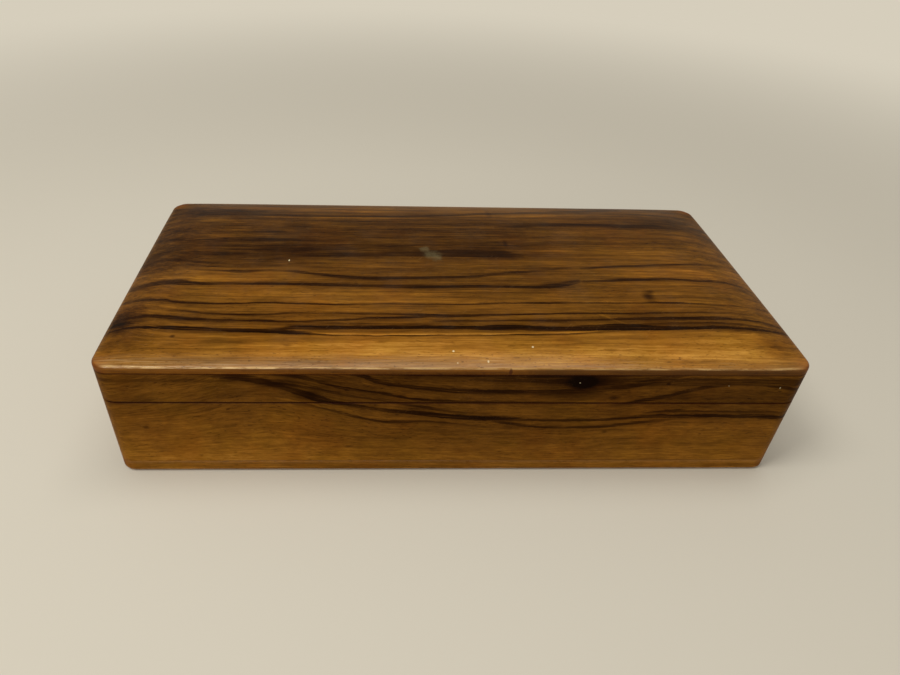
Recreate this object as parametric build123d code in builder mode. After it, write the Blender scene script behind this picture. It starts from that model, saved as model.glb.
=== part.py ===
"""Glove box in solid hardwood: a long, shallow box with a pillow-topped lid.

The base and the lid are one carcase of four mitred walls, sawn apart after it
was glued, between a planted bottom board and a planted, crowned lid board. The
lid turns on two small brass butt hinges let into the back walls, and the back
edges are bevelled so that the lid stands open just past upright. Thin boards
lining the base stand proud of the rim and keep the closed lid in place.

+X runs along the box, the front faces -Y, and the underside lies on Z = 0.
"""

import math
import os

from build123d import *

# ---------------------------------------------------------------------------
# Driving dimensions, in millimetres and degrees
# ---------------------------------------------------------------------------

# Carcase
length = 280.0  # outside, end to end
width = 138.0  # outside, front to back
wall = 8.0  # thickness of the four walls
corner_radius = 7.0  # upright corners, rounded over the mitres
bottom_thickness = 6.0  # planted bottom board
base_wall_height = 33.05  # from the bottom board to the rim
lid_wall_height = 14.5  # from the saw cut to the lid board
seam_gap = 0.3  # saw cut left between the rim and the closed lid
rim_ease = 0.35  # small bevel worn along both edges of the saw cut
foot_ease = 1.0  # worn bevel under the bottom board
joint_ease = 0.2  # hairline bevel where the bottom board meets the walls

# Lid board
board_edge = 2.8  # square edge of the lid board, below its crown
crown = 6.5  # rise of the pillow top above that edge
end_margin = 60.0  # length over which the crown falls towards each end
side_margin = 69.0  # the same towards the front and the back
crown_power = 4  # how suddenly it falls near the edge
board_arris = 1.4  # rounding of the arris all round the lid board

# Lip boards that line the base and locate the lid
lip_thickness = 2.5
lip_height = 3.0  # how far they stand above the rim
lip_clearance = 0.4  # between a lip and the lid wall round it
lip_round = 0.8  # rounding of the top edges

# Soft lining
panel_thickness = 1.2  # silk-covered card on the base walls
panel_reveal = 4.0  # polished lip left bare above the panels
card_thickness = 1.2  # cards that the floor and lid pads are made on
lining_clearance = 0.3  # between a lining piece and its neighbours
floor_pad_height = 5.0
lid_pad_height = 5.5
pad_round = 2.0  # rounded border of both pads

# Butt hinges
hinge_setback = 55.0  # from each end of the box to the middle of a hinge
hinge_length = 25.0
knuckle_radius = 1.9
knuckle_count = 3  # the base leaf carries the first and every second one after it
knuckle_gap = 0.1  # end play between two knuckles
knuckle_relief = 0.15  # clearance round a knuckle, in the other leaf
cove_clearance = 0.3  # clearance round a knuckle, in the wood
pin_radius = 0.8
pin_clearance = 0.05  # running fit, on the radius
pin_end = 0.2  # end of the pin left standing outside the knuckles
leaf_thickness = 1.0
leaf_reach = 4.9  # from the pin to the free edge of a leaf
leaf_clearance = 0.1  # between a leaf and the edges of its recess
pivot_inset = 2.0  # from the back of the box to the pin
lid_opening = 100.0  # how far the lid swings
opening_slack = 1.0  # left between the bevelled edges when it is open

# Countersunk slotted screws
screws_per_leaf = 2
screw_pitch = 14.0
screw_setback = 3.45  # from the pin to the line of screws
screw_head_radius = 1.2
screw_shank_radius = 0.7
screw_length = 6.0
screw_head_angle = 90.0  # included angle of the countersink
screw_clearance = 0.04  # round the shank, in wood and brass
slot_width = 0.35
slot_depth = 0.35

# ---------------------------------------------------------------------------
# Levels and places worked out from them
# ---------------------------------------------------------------------------

half_length = length / 2
half_width = width / 2
inner_length = length - 2 * wall
inner_width = width - 2 * wall
rim_level = bottom_thickness + base_wall_height
lid_rim_level = rim_level + seam_gap
lid_board_level = lid_rim_level + lid_wall_height
arris_level = lid_board_level + board_edge
lip_level = rim_level + lip_height

pivot_y = half_width - pivot_inset
pivot_z = rim_level + seam_gap / 2
bevel_angle = (lid_opening + opening_slack) / 2
leaf_seat = seam_gap / 2 + leaf_thickness  # from the pin down to the leaf's seat

os.makedirs("parts", exist_ok=True)


def save(builder, name):
    """Label one finished piece and write it as its own STEP file."""
    builder.part.label = name
    export_step(builder.part, f"parts/{name}.step")


def side_share(side):
    """Keep one side's share of the sketch in hand, up to its two mitre lines."""
    mitres_meet = half_length - half_width
    along_x = [
        (-half_length, -half_width),
        (half_length, -half_width),
        (mitres_meet, 0),
        (-mitres_meet, 0),
    ]
    along_y = [
        (half_length, -half_width),
        (half_length, half_width),
        (mitres_meet, 0),
    ]
    shapes = {
        "front": (along_x, 0),
        "back": (along_x, 180),
        "right": (along_y, 0),
        "left": (along_y, 180),
    }
    outline, turn = shapes[side]
    Polygon(*outline, rotation=turn, align=None, mode=Mode.INTERSECT)


def mitre(side, bottom, top):
    """Cut the part in hand back to one side's share between two levels."""
    with BuildSketch(Plane.XY.offset(bottom)) as share:
        Rectangle(length, width)
        side_share(side)
    extrude(share.sketch, amount=top - bottom, mode=Mode.INTERSECT)


# ---------------------------------------------------------------------------
# Butt hinges: each leaf is rolled round the pin in alternate knuckles
# ---------------------------------------------------------------------------

hinge_centres = {"left": hinge_setback - half_length, "right": half_length - hinge_setback}
knuckle_pitch = hinge_length / knuckle_count


def knuckle_centres(centre_x, first):
    """Give the X of every second knuckle, starting from knuckle number first."""
    start = centre_x - hinge_length / 2 + knuckle_pitch / 2
    return [start + n * knuckle_pitch for n in range(first, knuckle_count, 2)]


def screw_places(centre_x):
    """Give the X of the screws in one leaf."""
    middle = (screws_per_leaf - 1) / 2
    return [centre_x + (n - middle) * screw_pitch for n in range(screws_per_leaf)]


def barrel(centre_x, radius, barrel_length, mode=Mode.ADD):
    """Lay a cylinder along the line of the pin."""
    with Locations(Location((centre_x, pivot_y, pivot_z), (0, 90, 0))):
        Cylinder(radius, barrel_length, mode=mode)


def leaf_plane(centre_x, up):
    """Give the outer face of one leaf: screws enter along its normal, reversed."""
    z = pivot_z + up * seam_gap / 2
    return Plane(
        origin=(centre_x, pivot_y - screw_setback, z),
        x_dir=(1, 0, 0),
        z_dir=(0, 0, -up),
    )


def hinge_leaf(centre_x, up, other_knuckles):
    """Build one leaf: up is -1 for the base's leaf and 1 for the lid's."""
    with BuildPart() as leaf:
        with BuildSketch(Plane.YZ.offset(centre_x)):
            with Locations((pivot_y, pivot_z)):
                Circle(knuckle_radius)
            with Locations((pivot_y, pivot_z + up * (leaf_seat + seam_gap / 2) / 2)):
                Rectangle(leaf_reach, leaf_thickness, align=(Align.MAX, Align.CENTER))
        extrude(amount=hinge_length / 2, both=True)
        notch_back = pivot_y - knuckle_radius - knuckle_relief
        with Locations(*[(x, notch_back, pivot_z) for x in other_knuckles]):
            Box(
                knuckle_pitch + knuckle_gap,
                4 * knuckle_radius,
                4 * knuckle_radius,
                align=(Align.CENTER, Align.MIN, Align.CENTER),
                mode=Mode.SUBTRACT,
            )
        barrel(centre_x, pin_radius + pin_clearance, hinge_length, Mode.SUBTRACT)
        face = leaf_plane(0, up)
        with Locations(*[face.location * Pos(x, 0, 0) for x in screw_places(centre_x)]):
            CounterSinkHole(
                radius=screw_shank_radius + screw_clearance,
                counter_sink_radius=screw_head_radius + screw_clearance,
                depth=leaf_thickness,
                counter_sink_angle=screw_head_angle,
            )
    return leaf


def hinge_pin(centre_x):
    """Build one pin, cut off just outside the knuckles."""
    with BuildPart() as pin:
        barrel(centre_x, pin_radius, hinge_length + 2 * pin_end)
    return pin


def leaf_screws(up):
    """Build all the screws of the base's leaves (up -1) or the lid's (up 1)."""
    head_depth = (screw_head_radius - screw_shank_radius) / math.tan(
        math.radians(screw_head_angle / 2)
    )
    with BuildPart(Plane.XY) as screw:
        with BuildSketch(Plane.XZ):
            with BuildLine():
                Polyline(
                    (0, 0),
                    (screw_head_radius, 0),
                    (screw_shank_radius, -head_depth),
                    (screw_shank_radius, -screw_length),
                    (0, -screw_length),
                    close=True,
                )
            make_face()
        revolve(axis=Axis.Z)
        with Locations((0, 0, -slot_depth / 2)):
            Box(2 * screw_head_radius, slot_width, slot_depth, mode=Mode.SUBTRACT)
    face = leaf_plane(0, up)
    with BuildPart() as screws:
        for centre_x in hinge_centres.values():
            for x in screw_places(centre_x):
                add(face.location * Pos(x, 0, 0) * screw.part)
    return screws


for hinge, hinge_x in hinge_centres.items():
    base_knuckles = knuckle_centres(hinge_x, 0)
    lid_knuckles = knuckle_centres(hinge_x, 1)
    save(hinge_leaf(hinge_x, -1, lid_knuckles), f"{hinge}_hinge_base_leaf")
    save(hinge_leaf(hinge_x, 1, base_knuckles), f"{hinge}_hinge_lid_leaf")
    save(hinge_pin(hinge_x), f"{hinge}_hinge_pin")
save(leaf_screws(-1), "base_hinge_screws")
save(leaf_screws(1), "lid_hinge_screws")

# ---------------------------------------------------------------------------
# Carcase walls: one frame for the base and one for the lid, cut at the mitres
# ---------------------------------------------------------------------------


def carcase(bottom, top, eased_level):
    """Build the four glued walls as one ring, eased along the saw cut."""
    with BuildPart() as ring:
        with BuildSketch(Plane.XY.offset(bottom)):
            RectangleRounded(length, width, corner_radius)
            Rectangle(inner_length, inner_width, mode=Mode.SUBTRACT)
        extrude(amount=top - bottom)
        sawn = ring.faces().filter_by(Axis.Z).sort_by(lambda f: abs(f.center().Z - eased_level))[0]
        chamfer(sawn.outer_wire().edges(), rim_ease)
    return ring


def cut_for_hinges(up):
    """Cut a back wall for the hinges: up is -1 for the base and 1 for the lid.

    The edge behind the pins is bevelled from end to end, so that the two
    bevels meet when the lid is open. Each leaf lies in a recess as deep as
    it is thick, and each barrel in a cove.
    """
    cut_edge = pivot_z + up * seam_gap / 2
    behind = pivot_inset + wall
    rise = behind * math.tan(math.radians(bevel_angle))
    with BuildSketch(Plane.YZ) as bevel:
        Polygon(
            (pivot_y, cut_edge),
            (pivot_y + behind, cut_edge),
            (pivot_y + behind, cut_edge + up * rise),
            align=None,
        )
    extrude(bevel.sketch, amount=half_length, both=True, mode=Mode.SUBTRACT)
    for centre_x in hinge_centres.values():
        barrel(
            centre_x,
            knuckle_radius + cove_clearance,
            hinge_length + 2 * (pin_end + cove_clearance),
            Mode.SUBTRACT,
        )
        with BuildSketch(Plane.YZ.offset(centre_x)) as recess:
            with Locations((pivot_y, pivot_z)):
                Rectangle(
                    leaf_reach + leaf_clearance,
                    2 * leaf_seat,
                    align=(Align.MAX, Align.CENTER),
                )
        extrude(
            recess.sketch,
            amount=hinge_length / 2 + leaf_clearance,
            both=True,
            mode=Mode.SUBTRACT,
        )
        face = leaf_plane(0, up)
        with Locations(*[face.location * Pos(x, 0, 0) for x in screw_places(centre_x)]):
            Cylinder(
                screw_shank_radius + screw_clearance,
                screw_length + screw_clearance,
                align=(Align.CENTER, Align.CENTER, Align.MAX),
                mode=Mode.SUBTRACT,
            )


base_ring = carcase(bottom_thickness, rim_level, rim_level)
lid_ring = carcase(lid_rim_level, lid_board_level, lid_rim_level)

for half, ring, ring_bottom, ring_top, direction in [
    ("base", base_ring, bottom_thickness, rim_level, -1),
    ("lid", lid_ring, lid_rim_level, lid_board_level, 1),
]:
    for wall_side in ["front", "back", "left", "right"]:
        with BuildPart() as wall_piece:
            add(ring.part)
            mitre(wall_side, ring_bottom, ring_top)
            if wall_side == "back":
                cut_for_hinges(direction)
        save(wall_piece, f"{half}_{wall_side}_wall")

# ---------------------------------------------------------------------------
# Bottom board, planted under the walls
# ---------------------------------------------------------------------------

with BuildPart() as bottom_board:
    with BuildSketch():
        RectangleRounded(length, width, corner_radius)
    extrude(amount=bottom_thickness)
    chamfer(bottom_board.faces().sort_by(Axis.Z)[0].edges(), foot_ease)
    chamfer(bottom_board.faces().sort_by(Axis.Z)[-1].edges(), joint_ease)
save(bottom_board, "bottom_board")

# ---------------------------------------------------------------------------
# Lid board: a pillow top whose crown falls away along all four margins
# ---------------------------------------------------------------------------

crown_samples = 25  # points that shape the crown, each way
crown_overlap = 4.0  # the crown is shaped this far past the plan, then trimmed


def crown_share(position, half_size, margin):
    """Give the share of the crown at a distance from the centre line."""
    reach = min(margin, half_size)
    depth = min((half_size - abs(position)) / reach, 1.0)
    return 1.0 - (1.0 - depth) ** crown_power


def crown_level(x, y):
    """Give the height of the pillow top over one point of the plan."""
    along = crown_share(x, half_length, end_margin)
    across = crown_share(y, half_width, side_margin)
    return arris_level + crown * along * across


def spread(half_size):
    """Give sample places across the plan, closer together near both edges."""
    reach = half_size + crown_overlap
    return [-reach * math.cos(math.pi * n / (crown_samples - 1)) for n in range(crown_samples)]


crown_face = Face.make_surface_from_array_of_points(
    [[(x, y, crown_level(x, y)) for y in spread(half_width)] for x in spread(half_length)],
    tol=0.01,
)

with BuildPart() as lid_board:
    with BuildSketch(Plane.XY.offset(lid_board_level)):
        RectangleRounded(length, width, corner_radius)
    extrude(amount=board_edge + 2 * crown)
    split(bisect_by=crown_face, keep=Keep.BOTTOM)
    pillow_top = lid_board.faces().filter_by(GeomType.BSPLINE).sort_by(SortBy.AREA)[-1]
    fillet(pillow_top.edges(), board_arris)
save(lid_board, "lid_board")

# ---------------------------------------------------------------------------
# Lip boards: they line the base, stand proud of the rim and enter the lid
# ---------------------------------------------------------------------------


def lined_ring(outer_inset, inner_inset, bottom, top):
    """Build a plain square-cornered ring between two insets from the walls."""
    with BuildPart() as ring:
        with BuildSketch(Plane.XY.offset(bottom)):
            Rectangle(inner_length - 2 * outer_inset, inner_width - 2 * outer_inset)
            Rectangle(
                inner_length - 2 * inner_inset,
                inner_width - 2 * inner_inset,
                mode=Mode.SUBTRACT,
            )
        extrude(amount=top - bottom)
    return ring


with BuildPart() as lip_ring:
    add(lined_ring(0, lip_thickness, bottom_thickness, rim_level).part)
    add(lined_ring(lip_clearance, lip_thickness, rim_level, lip_level).part)
    lip_top = lip_ring.faces().filter_by(Axis.Z).sort_by(Axis.Z)[-1]
    fillet(lip_top.edges(), lip_round)

panel_level = lip_level - panel_reveal
panel_ring = lined_ring(
    lip_thickness,
    lip_thickness + panel_thickness,
    bottom_thickness,
    panel_level,
)

for name_end, ring, ring_top in [("lip", lip_ring, lip_level), ("panel", panel_ring, panel_level)]:
    for lining_side in ["front", "back", "left", "right"]:
        with BuildPart() as lining_piece:
            add(ring.part)
            mitre(lining_side, bottom_thickness, ring_top)
        save(lining_piece, f"{lining_side}_{name_end}")

# ---------------------------------------------------------------------------
# Floor and lid pads, each on its own card
# ---------------------------------------------------------------------------

floor_inset = lip_thickness + panel_thickness + lining_clearance
floor_length = inner_length - 2 * floor_inset
floor_width = inner_width - 2 * floor_inset
floor_pad_level = bottom_thickness + card_thickness

with BuildPart() as floor_card:
    with BuildSketch(Plane.XY.offset(bottom_thickness)):
        Rectangle(floor_length, floor_width)
    extrude(amount=card_thickness)
save(floor_card, "floor_card")

with BuildPart() as floor_pad:
    with BuildSketch(Plane.XY.offset(floor_pad_level)):
        Rectangle(floor_length, floor_width)
    extrude(amount=floor_pad_height)
    fillet(floor_pad.faces().sort_by(Axis.Z)[-1].edges(), pad_round)
save(floor_pad, "floor_pad")

lid_lining_length = inner_length - 2 * lining_clearance
lid_lining_width = inner_width - 2 * lining_clearance
lid_card_level = lid_board_level - card_thickness

with BuildPart() as lid_card:
    with BuildSketch(Plane.XY.offset(lid_card_level)):
        Rectangle(lid_lining_length, lid_lining_width)
    extrude(amount=card_thickness)
save(lid_card, "lid_card")

with BuildPart() as lid_pad:
    with BuildSketch(Plane.XY.offset(lid_card_level - lid_pad_height)):
        Rectangle(lid_lining_length, lid_lining_width)
    extrude(amount=lid_pad_height)
    fillet(lid_pad.faces().sort_by(Axis.Z)[0].edges(), pad_round)
save(lid_pad, "lid_pad")
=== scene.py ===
"""Looks of an antique glove box in figured olive wood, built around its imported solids.

The walls, lips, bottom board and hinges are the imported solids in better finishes.
The crowned lid board is a geometry-node pillow, and so are the slotted screws of the hinges.
The silk lining is made anew: a quilted floor pad, a buttoned lid pad and four ruched wall panels.

Lengths are in millimetres where a name or docstring says so, and otherwise in metres.
"""

from __future__ import annotations

import functools
import logging
import math
from dataclasses import dataclass
from enum import Enum
from typing import Callable, Iterable, Sequence

import bmesh
import bpy
import numpy as np
from bpy.types import Material, Mesh, Node, NodeSocket, NodeTree, Object
from mathutils import Euler, Matrix, Vector


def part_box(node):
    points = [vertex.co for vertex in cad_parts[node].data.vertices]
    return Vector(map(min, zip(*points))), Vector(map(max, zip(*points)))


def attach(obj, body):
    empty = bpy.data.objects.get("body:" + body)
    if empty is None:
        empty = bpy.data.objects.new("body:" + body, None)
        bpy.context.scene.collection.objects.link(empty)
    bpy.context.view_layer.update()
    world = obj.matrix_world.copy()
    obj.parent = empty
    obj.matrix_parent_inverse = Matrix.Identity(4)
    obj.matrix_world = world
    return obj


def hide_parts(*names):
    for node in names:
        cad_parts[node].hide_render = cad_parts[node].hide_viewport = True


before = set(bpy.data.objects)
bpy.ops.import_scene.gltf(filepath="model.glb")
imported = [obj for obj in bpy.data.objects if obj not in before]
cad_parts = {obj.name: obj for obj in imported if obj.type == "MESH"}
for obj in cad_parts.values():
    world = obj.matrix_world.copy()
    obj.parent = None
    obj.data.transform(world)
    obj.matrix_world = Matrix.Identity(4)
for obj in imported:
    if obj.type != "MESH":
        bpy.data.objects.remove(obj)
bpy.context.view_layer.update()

MM = 0.001
FULL_TURN = 2.0 * math.pi
LOG = logging.getLogger("glove_box")

Colour = tuple[float, float, float, float]
Triple = tuple[float, float, float]
Spot = tuple[tuple[float, float], tuple[float, float]]


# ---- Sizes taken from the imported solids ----


def span(node: str) -> tuple[Vector, Vector]:
    """Give a node's lowest and highest corners in millimetres."""
    low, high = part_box(node)
    return low / MM, high / MM


@dataclass(frozen=True)
class BoxSizes:
    """The box's own levels and half sizes, in millimetres.

    Attributes:
        half_length: Half the length, along X.
        half_width: Half the width, along Y.
        rim: Level of the rim of the base.
        lid_rim: Level of the lower edge of the lid's walls.
        board: Level of the joint under the lid board.
        top: Highest level of the crown.
    """

    half_length: float
    half_width: float
    rim: float
    lid_rim: float
    board: float
    top: float

    @classmethod
    def measured(cls) -> BoxSizes:
        """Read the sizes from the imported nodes.

        Returns:
            The sizes.
        """
        low, high = span("lid_board")
        rim, lid_rim = span("base_front_wall")[1].z, span("lid_front_wall")[0].z
        return cls(half_length=high.x, half_width=high.y, rim=rim, lid_rim=lid_rim, board=low.z, top=high.z)


BOX = BoxSizes.measured()


def paint(red: float, green: float, blue: float) -> Colour:
    """Turn a display colour from 0 to 255 into the linear colour that nodes take.

    Args:
        red: Its red.
        green: Its green.
        blue: Its blue.

    Returns:
        The linear colour, with a full alpha.
    """
    toe, slope, offset, power = 0.04045, 12.92, 0.055, 2.4
    shares = [channel / 255.0 for channel in (red, green, blue)]
    return (*(s / slope if s <= toe else ((s + offset) / (1.0 + offset)) ** power for s in shares), 1.0)


# ---- Wiring node trees ----


def arithmetic(operation: str, swapped: bool = False) -> Callable[..., Wire]:
    """Make a method of a wire that adds a Math node.

    Args:
        operation: The node's operation.
        swapped: Whether the wire comes second.

    Returns:
        The method.
    """

    def method(wire: Wire, other: Wire | float = 0.0) -> Wire:
        """Reckon with another value."""
        return wire.graph.math(operation, *((other, wire) if swapped else (wire, other)))

    return method


@dataclass(frozen=True)
class Wire:
    """One value on its way through a node tree: arithmetic on it adds Math nodes.

    Attributes:
        graph: The tree that it runs through.
        socket: The output that it comes from.
    """

    graph: Graph
    socket: NodeSocket

    __add__, __radd__ = arithmetic("ADD"), arithmetic("ADD", swapped=True)
    __sub__, __rsub__ = arithmetic("SUBTRACT"), arithmetic("SUBTRACT", swapped=True)
    __truediv__, __rtruediv__ = arithmetic("DIVIDE"), arithmetic("DIVIDE", swapped=True)
    __mul__, __abs__ = arithmetic("MULTIPLY"), arithmetic("ABSOLUTE")
    least, most, power = arithmetic("MINIMUM"), arithmetic("MAXIMUM"), arithmetic("POWER")

    def held(self) -> Wire:
        """Keep the value from 0 to 1."""
        return self.graph.math("ADD", self, 0.0, clamp=True)


class Graph:
    """A node tree being wired, for shaders and for geometry alike."""

    def __init__(self, tree: NodeTree) -> None:
        """Start wiring a tree."""
        self.tree = tree
        self.given: dict[str, Wire] = {}

    def __getitem__(self, label: str) -> Wire:
        """Give one of the tree's own inputs by its name."""
        return self.given[label]

    def add_sockets(self, inputs: dict[str, str], outputs: dict[str, str]) -> None:
        """Make the tree's own inputs and outputs.

        Args:
            inputs: Each input's kind, by its name.
            outputs: Each output's kind, by its name.
        """
        for way, sockets in (("INPUT", inputs), ("OUTPUT", outputs)):
            for label, kind in sockets.items():
                self.tree.interface.new_socket(label, in_out=way, socket_type=f"NodeSocket{kind}")
        start = self.put("NodeGroupInput")
        self.given = {label: self.wire(start, label) for label in inputs}

    def put(self, kind: str, values: dict | Sequence = (), **settings: object) -> Node:
        """Add a node.

        Args:
            kind: The node's type name.
            values: What its inputs take, by name or in order: wires, plain values or None.
            settings: Properties of the node, set before its inputs.

        Returns:
            The node.
        """
        node = self.tree.nodes.new(kind)
        for name, value in settings.items():
            setattr(node, name, value)
        for key, value in values.items() if isinstance(values, dict) else enumerate(values):
            if isinstance(value, Wire):
                self.tree.links.new(value.socket, node.inputs[key])
            elif value is not None:
                node.inputs[key].default_value = value
        return node

    def wire(self, node: Node, output: int | str = 0) -> Wire:
        """Give one of a node's outputs as a wire."""
        return Wire(self, node.outputs[output])

    def made(self, kind: str, values: dict | Sequence = (), output: int | str = 0, **settings: object) -> Wire:
        """Add a node as put does, and give one of its outputs."""
        return self.wire(self.put(kind, values, **settings), output)

    def math(self, operation: str, a: Wire | float, b: Wire | float = 0.0, clamp: bool = False) -> Wire:
        """Add a Math node and give its value."""
        return self.made("ShaderNodeMath", (a, b), operation=operation, use_clamp=clamp)

    def vector(self, operation: str, a: object, b: object = None, output: int | str = 0) -> Wire:
        """Add a Vector Math node and give its vector, or its value."""
        return self.made("ShaderNodeVectorMath", (a, b), output, operation=operation)

    def length(self, a: Wire) -> Wire:
        """Give the length of a vector."""
        return self.vector("LENGTH", a, output="Value")

    def scaled(self, a: Wire, factor: Wire | float) -> Wire:
        """Give a vector times a number."""
        return self.made("ShaderNodeVectorMath", {0: a, "Scale": factor}, operation="SCALE")

    def parts(self, a: Wire) -> tuple[Wire, ...]:
        """Split a vector into its X, Y and Z."""
        node = self.put("ShaderNodeSeparateXYZ", (a,))
        return tuple(self.wire(node, axis) for axis in range(3))

    def part(self, a: Wire, axis: int) -> Wire:
        """Give the X (0), Y (1) or Z (2) of a vector."""
        unit = [float(place == axis) for place in range(3)]
        return self.vector("DOT_PRODUCT", a, unit, "Value")

    def joined(self, x: Wire | float = 0.0, y: Wire | float = 0.0, z: Wire | float = 0.0) -> Wire:
        """Make a vector of three values."""
        return self.made("ShaderNodeCombineXYZ", (x, y, z))

    def ease(self, value: Wire, start: Wire | float, end: Wire | float, low: float = 0.0, high: float = 1.0) -> Wire:
        """Go smoothly from low at start to high at end."""
        values = {"Value": value, "From Min": start, "From Max": end, "To Min": low, "To Max": high}
        return self.made("ShaderNodeMapRange", values, interpolation_type="SMOOTHSTEP")

    def noise(self, place: Wire, scale: float, detail: float = 2.0, rough: float = 0.5) -> Wire:
        """Give a noise value, about 0.5 on average, at a place."""
        values = {"Vector": place, "Scale": scale, "Detail": detail, "Roughness": rough}
        return self.made("ShaderNodeTexNoise", values)

    def blend(self, share: Wire | float, a: object, b: object, kind: str = "MIX") -> Wire:
        """Mix two colours."""
        settings = {"data_type": "RGBA", "blend_type": kind, "clamp_factor": True}
        return self.made("ShaderNodeMix", {0: share, 6: a, 7: b}, 2, **settings)

    def mix(self, share: Wire | float, a: object, b: object) -> Wire:
        """Mix two values."""
        return self.made("ShaderNodeMix", {0: share, 2: a, 3: b}, data_type="FLOAT")

    def ramp(self, value: Wire, stops: Sequence[tuple[float, Colour]]) -> Wire:
        """Turn a value into a colour through a ramp.

        Args:
            value: The value.
            stops: The ramp's stops, each as its place and its colour.

        Returns:
            The colour.
        """
        node = self.put("ShaderNodeValToRGB", (value,))
        ends = node.color_ramp.elements
        for place, colour in stops[1:-1]:
            ends.new(place).color = colour
        ends[0].position, ends[0].color = stops[0]
        ends[len(ends) - 1].position, ends[len(ends) - 1].color = stops[-1]
        return self.wire(node)

    def curves(self, value: Wire, tracks: Sequence[Sequence[tuple[float, float]]]) -> Wire:
        """Let a vector follow given curves of one value.

        Args:
            value: The value, from 0 to 1.
            tracks: The points of the curves of X, Y and Z; a curve that is left out stays straight.

        Returns:
            The vector.
        """
        node = self.put("ShaderNodeVectorCurve", {"Vector": self.joined(value, value, value)})
        node.mapping.use_clip = False
        node.mapping.extend = "HORIZONTAL"
        for curve, track in zip(node.mapping.curves, tracks):
            for point, place in zip(curve.points, (track[0], track[-1])):
                point.location = place
            for place in track[1:-1]:
                curve.points.new(*place)
        node.mapping.update()
        return self.wire(node)

    def bump(self, height: Wire, distance: float, strength: float = 1.0) -> Wire:
        """Turn a height from 0 to 1 into a normal; distance is the real depth in metres."""
        return self.made("ShaderNodeBump", {"Height": height, "Distance": distance, "Strength": strength})

    def group(self, group: NodeTree, values: dict) -> Node:
        """Place a shared group with its own values."""
        return self.put("ShaderNodeGroup", values, node_tree=group)


class ShaderGroup(Graph):
    """A shader node group being wired."""

    def __init__(self, name: str, inputs: dict[str, str], outputs: Sequence[str]) -> None:
        """Start the group with inputs of kind "Float" or "Vector" and with value outputs."""
        super().__init__(bpy.data.node_groups.new(name, "ShaderNodeTree"))
        self.add_sockets(inputs, dict.fromkeys(outputs, "Float"))

    def closed(self, results: dict[str, Wire]) -> NodeTree:
        """Wire the group's results to its outputs and give the group."""
        self.put("NodeGroupOutput", results)
        return self.tree


# ---- Effects shared between finishes ----


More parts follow.
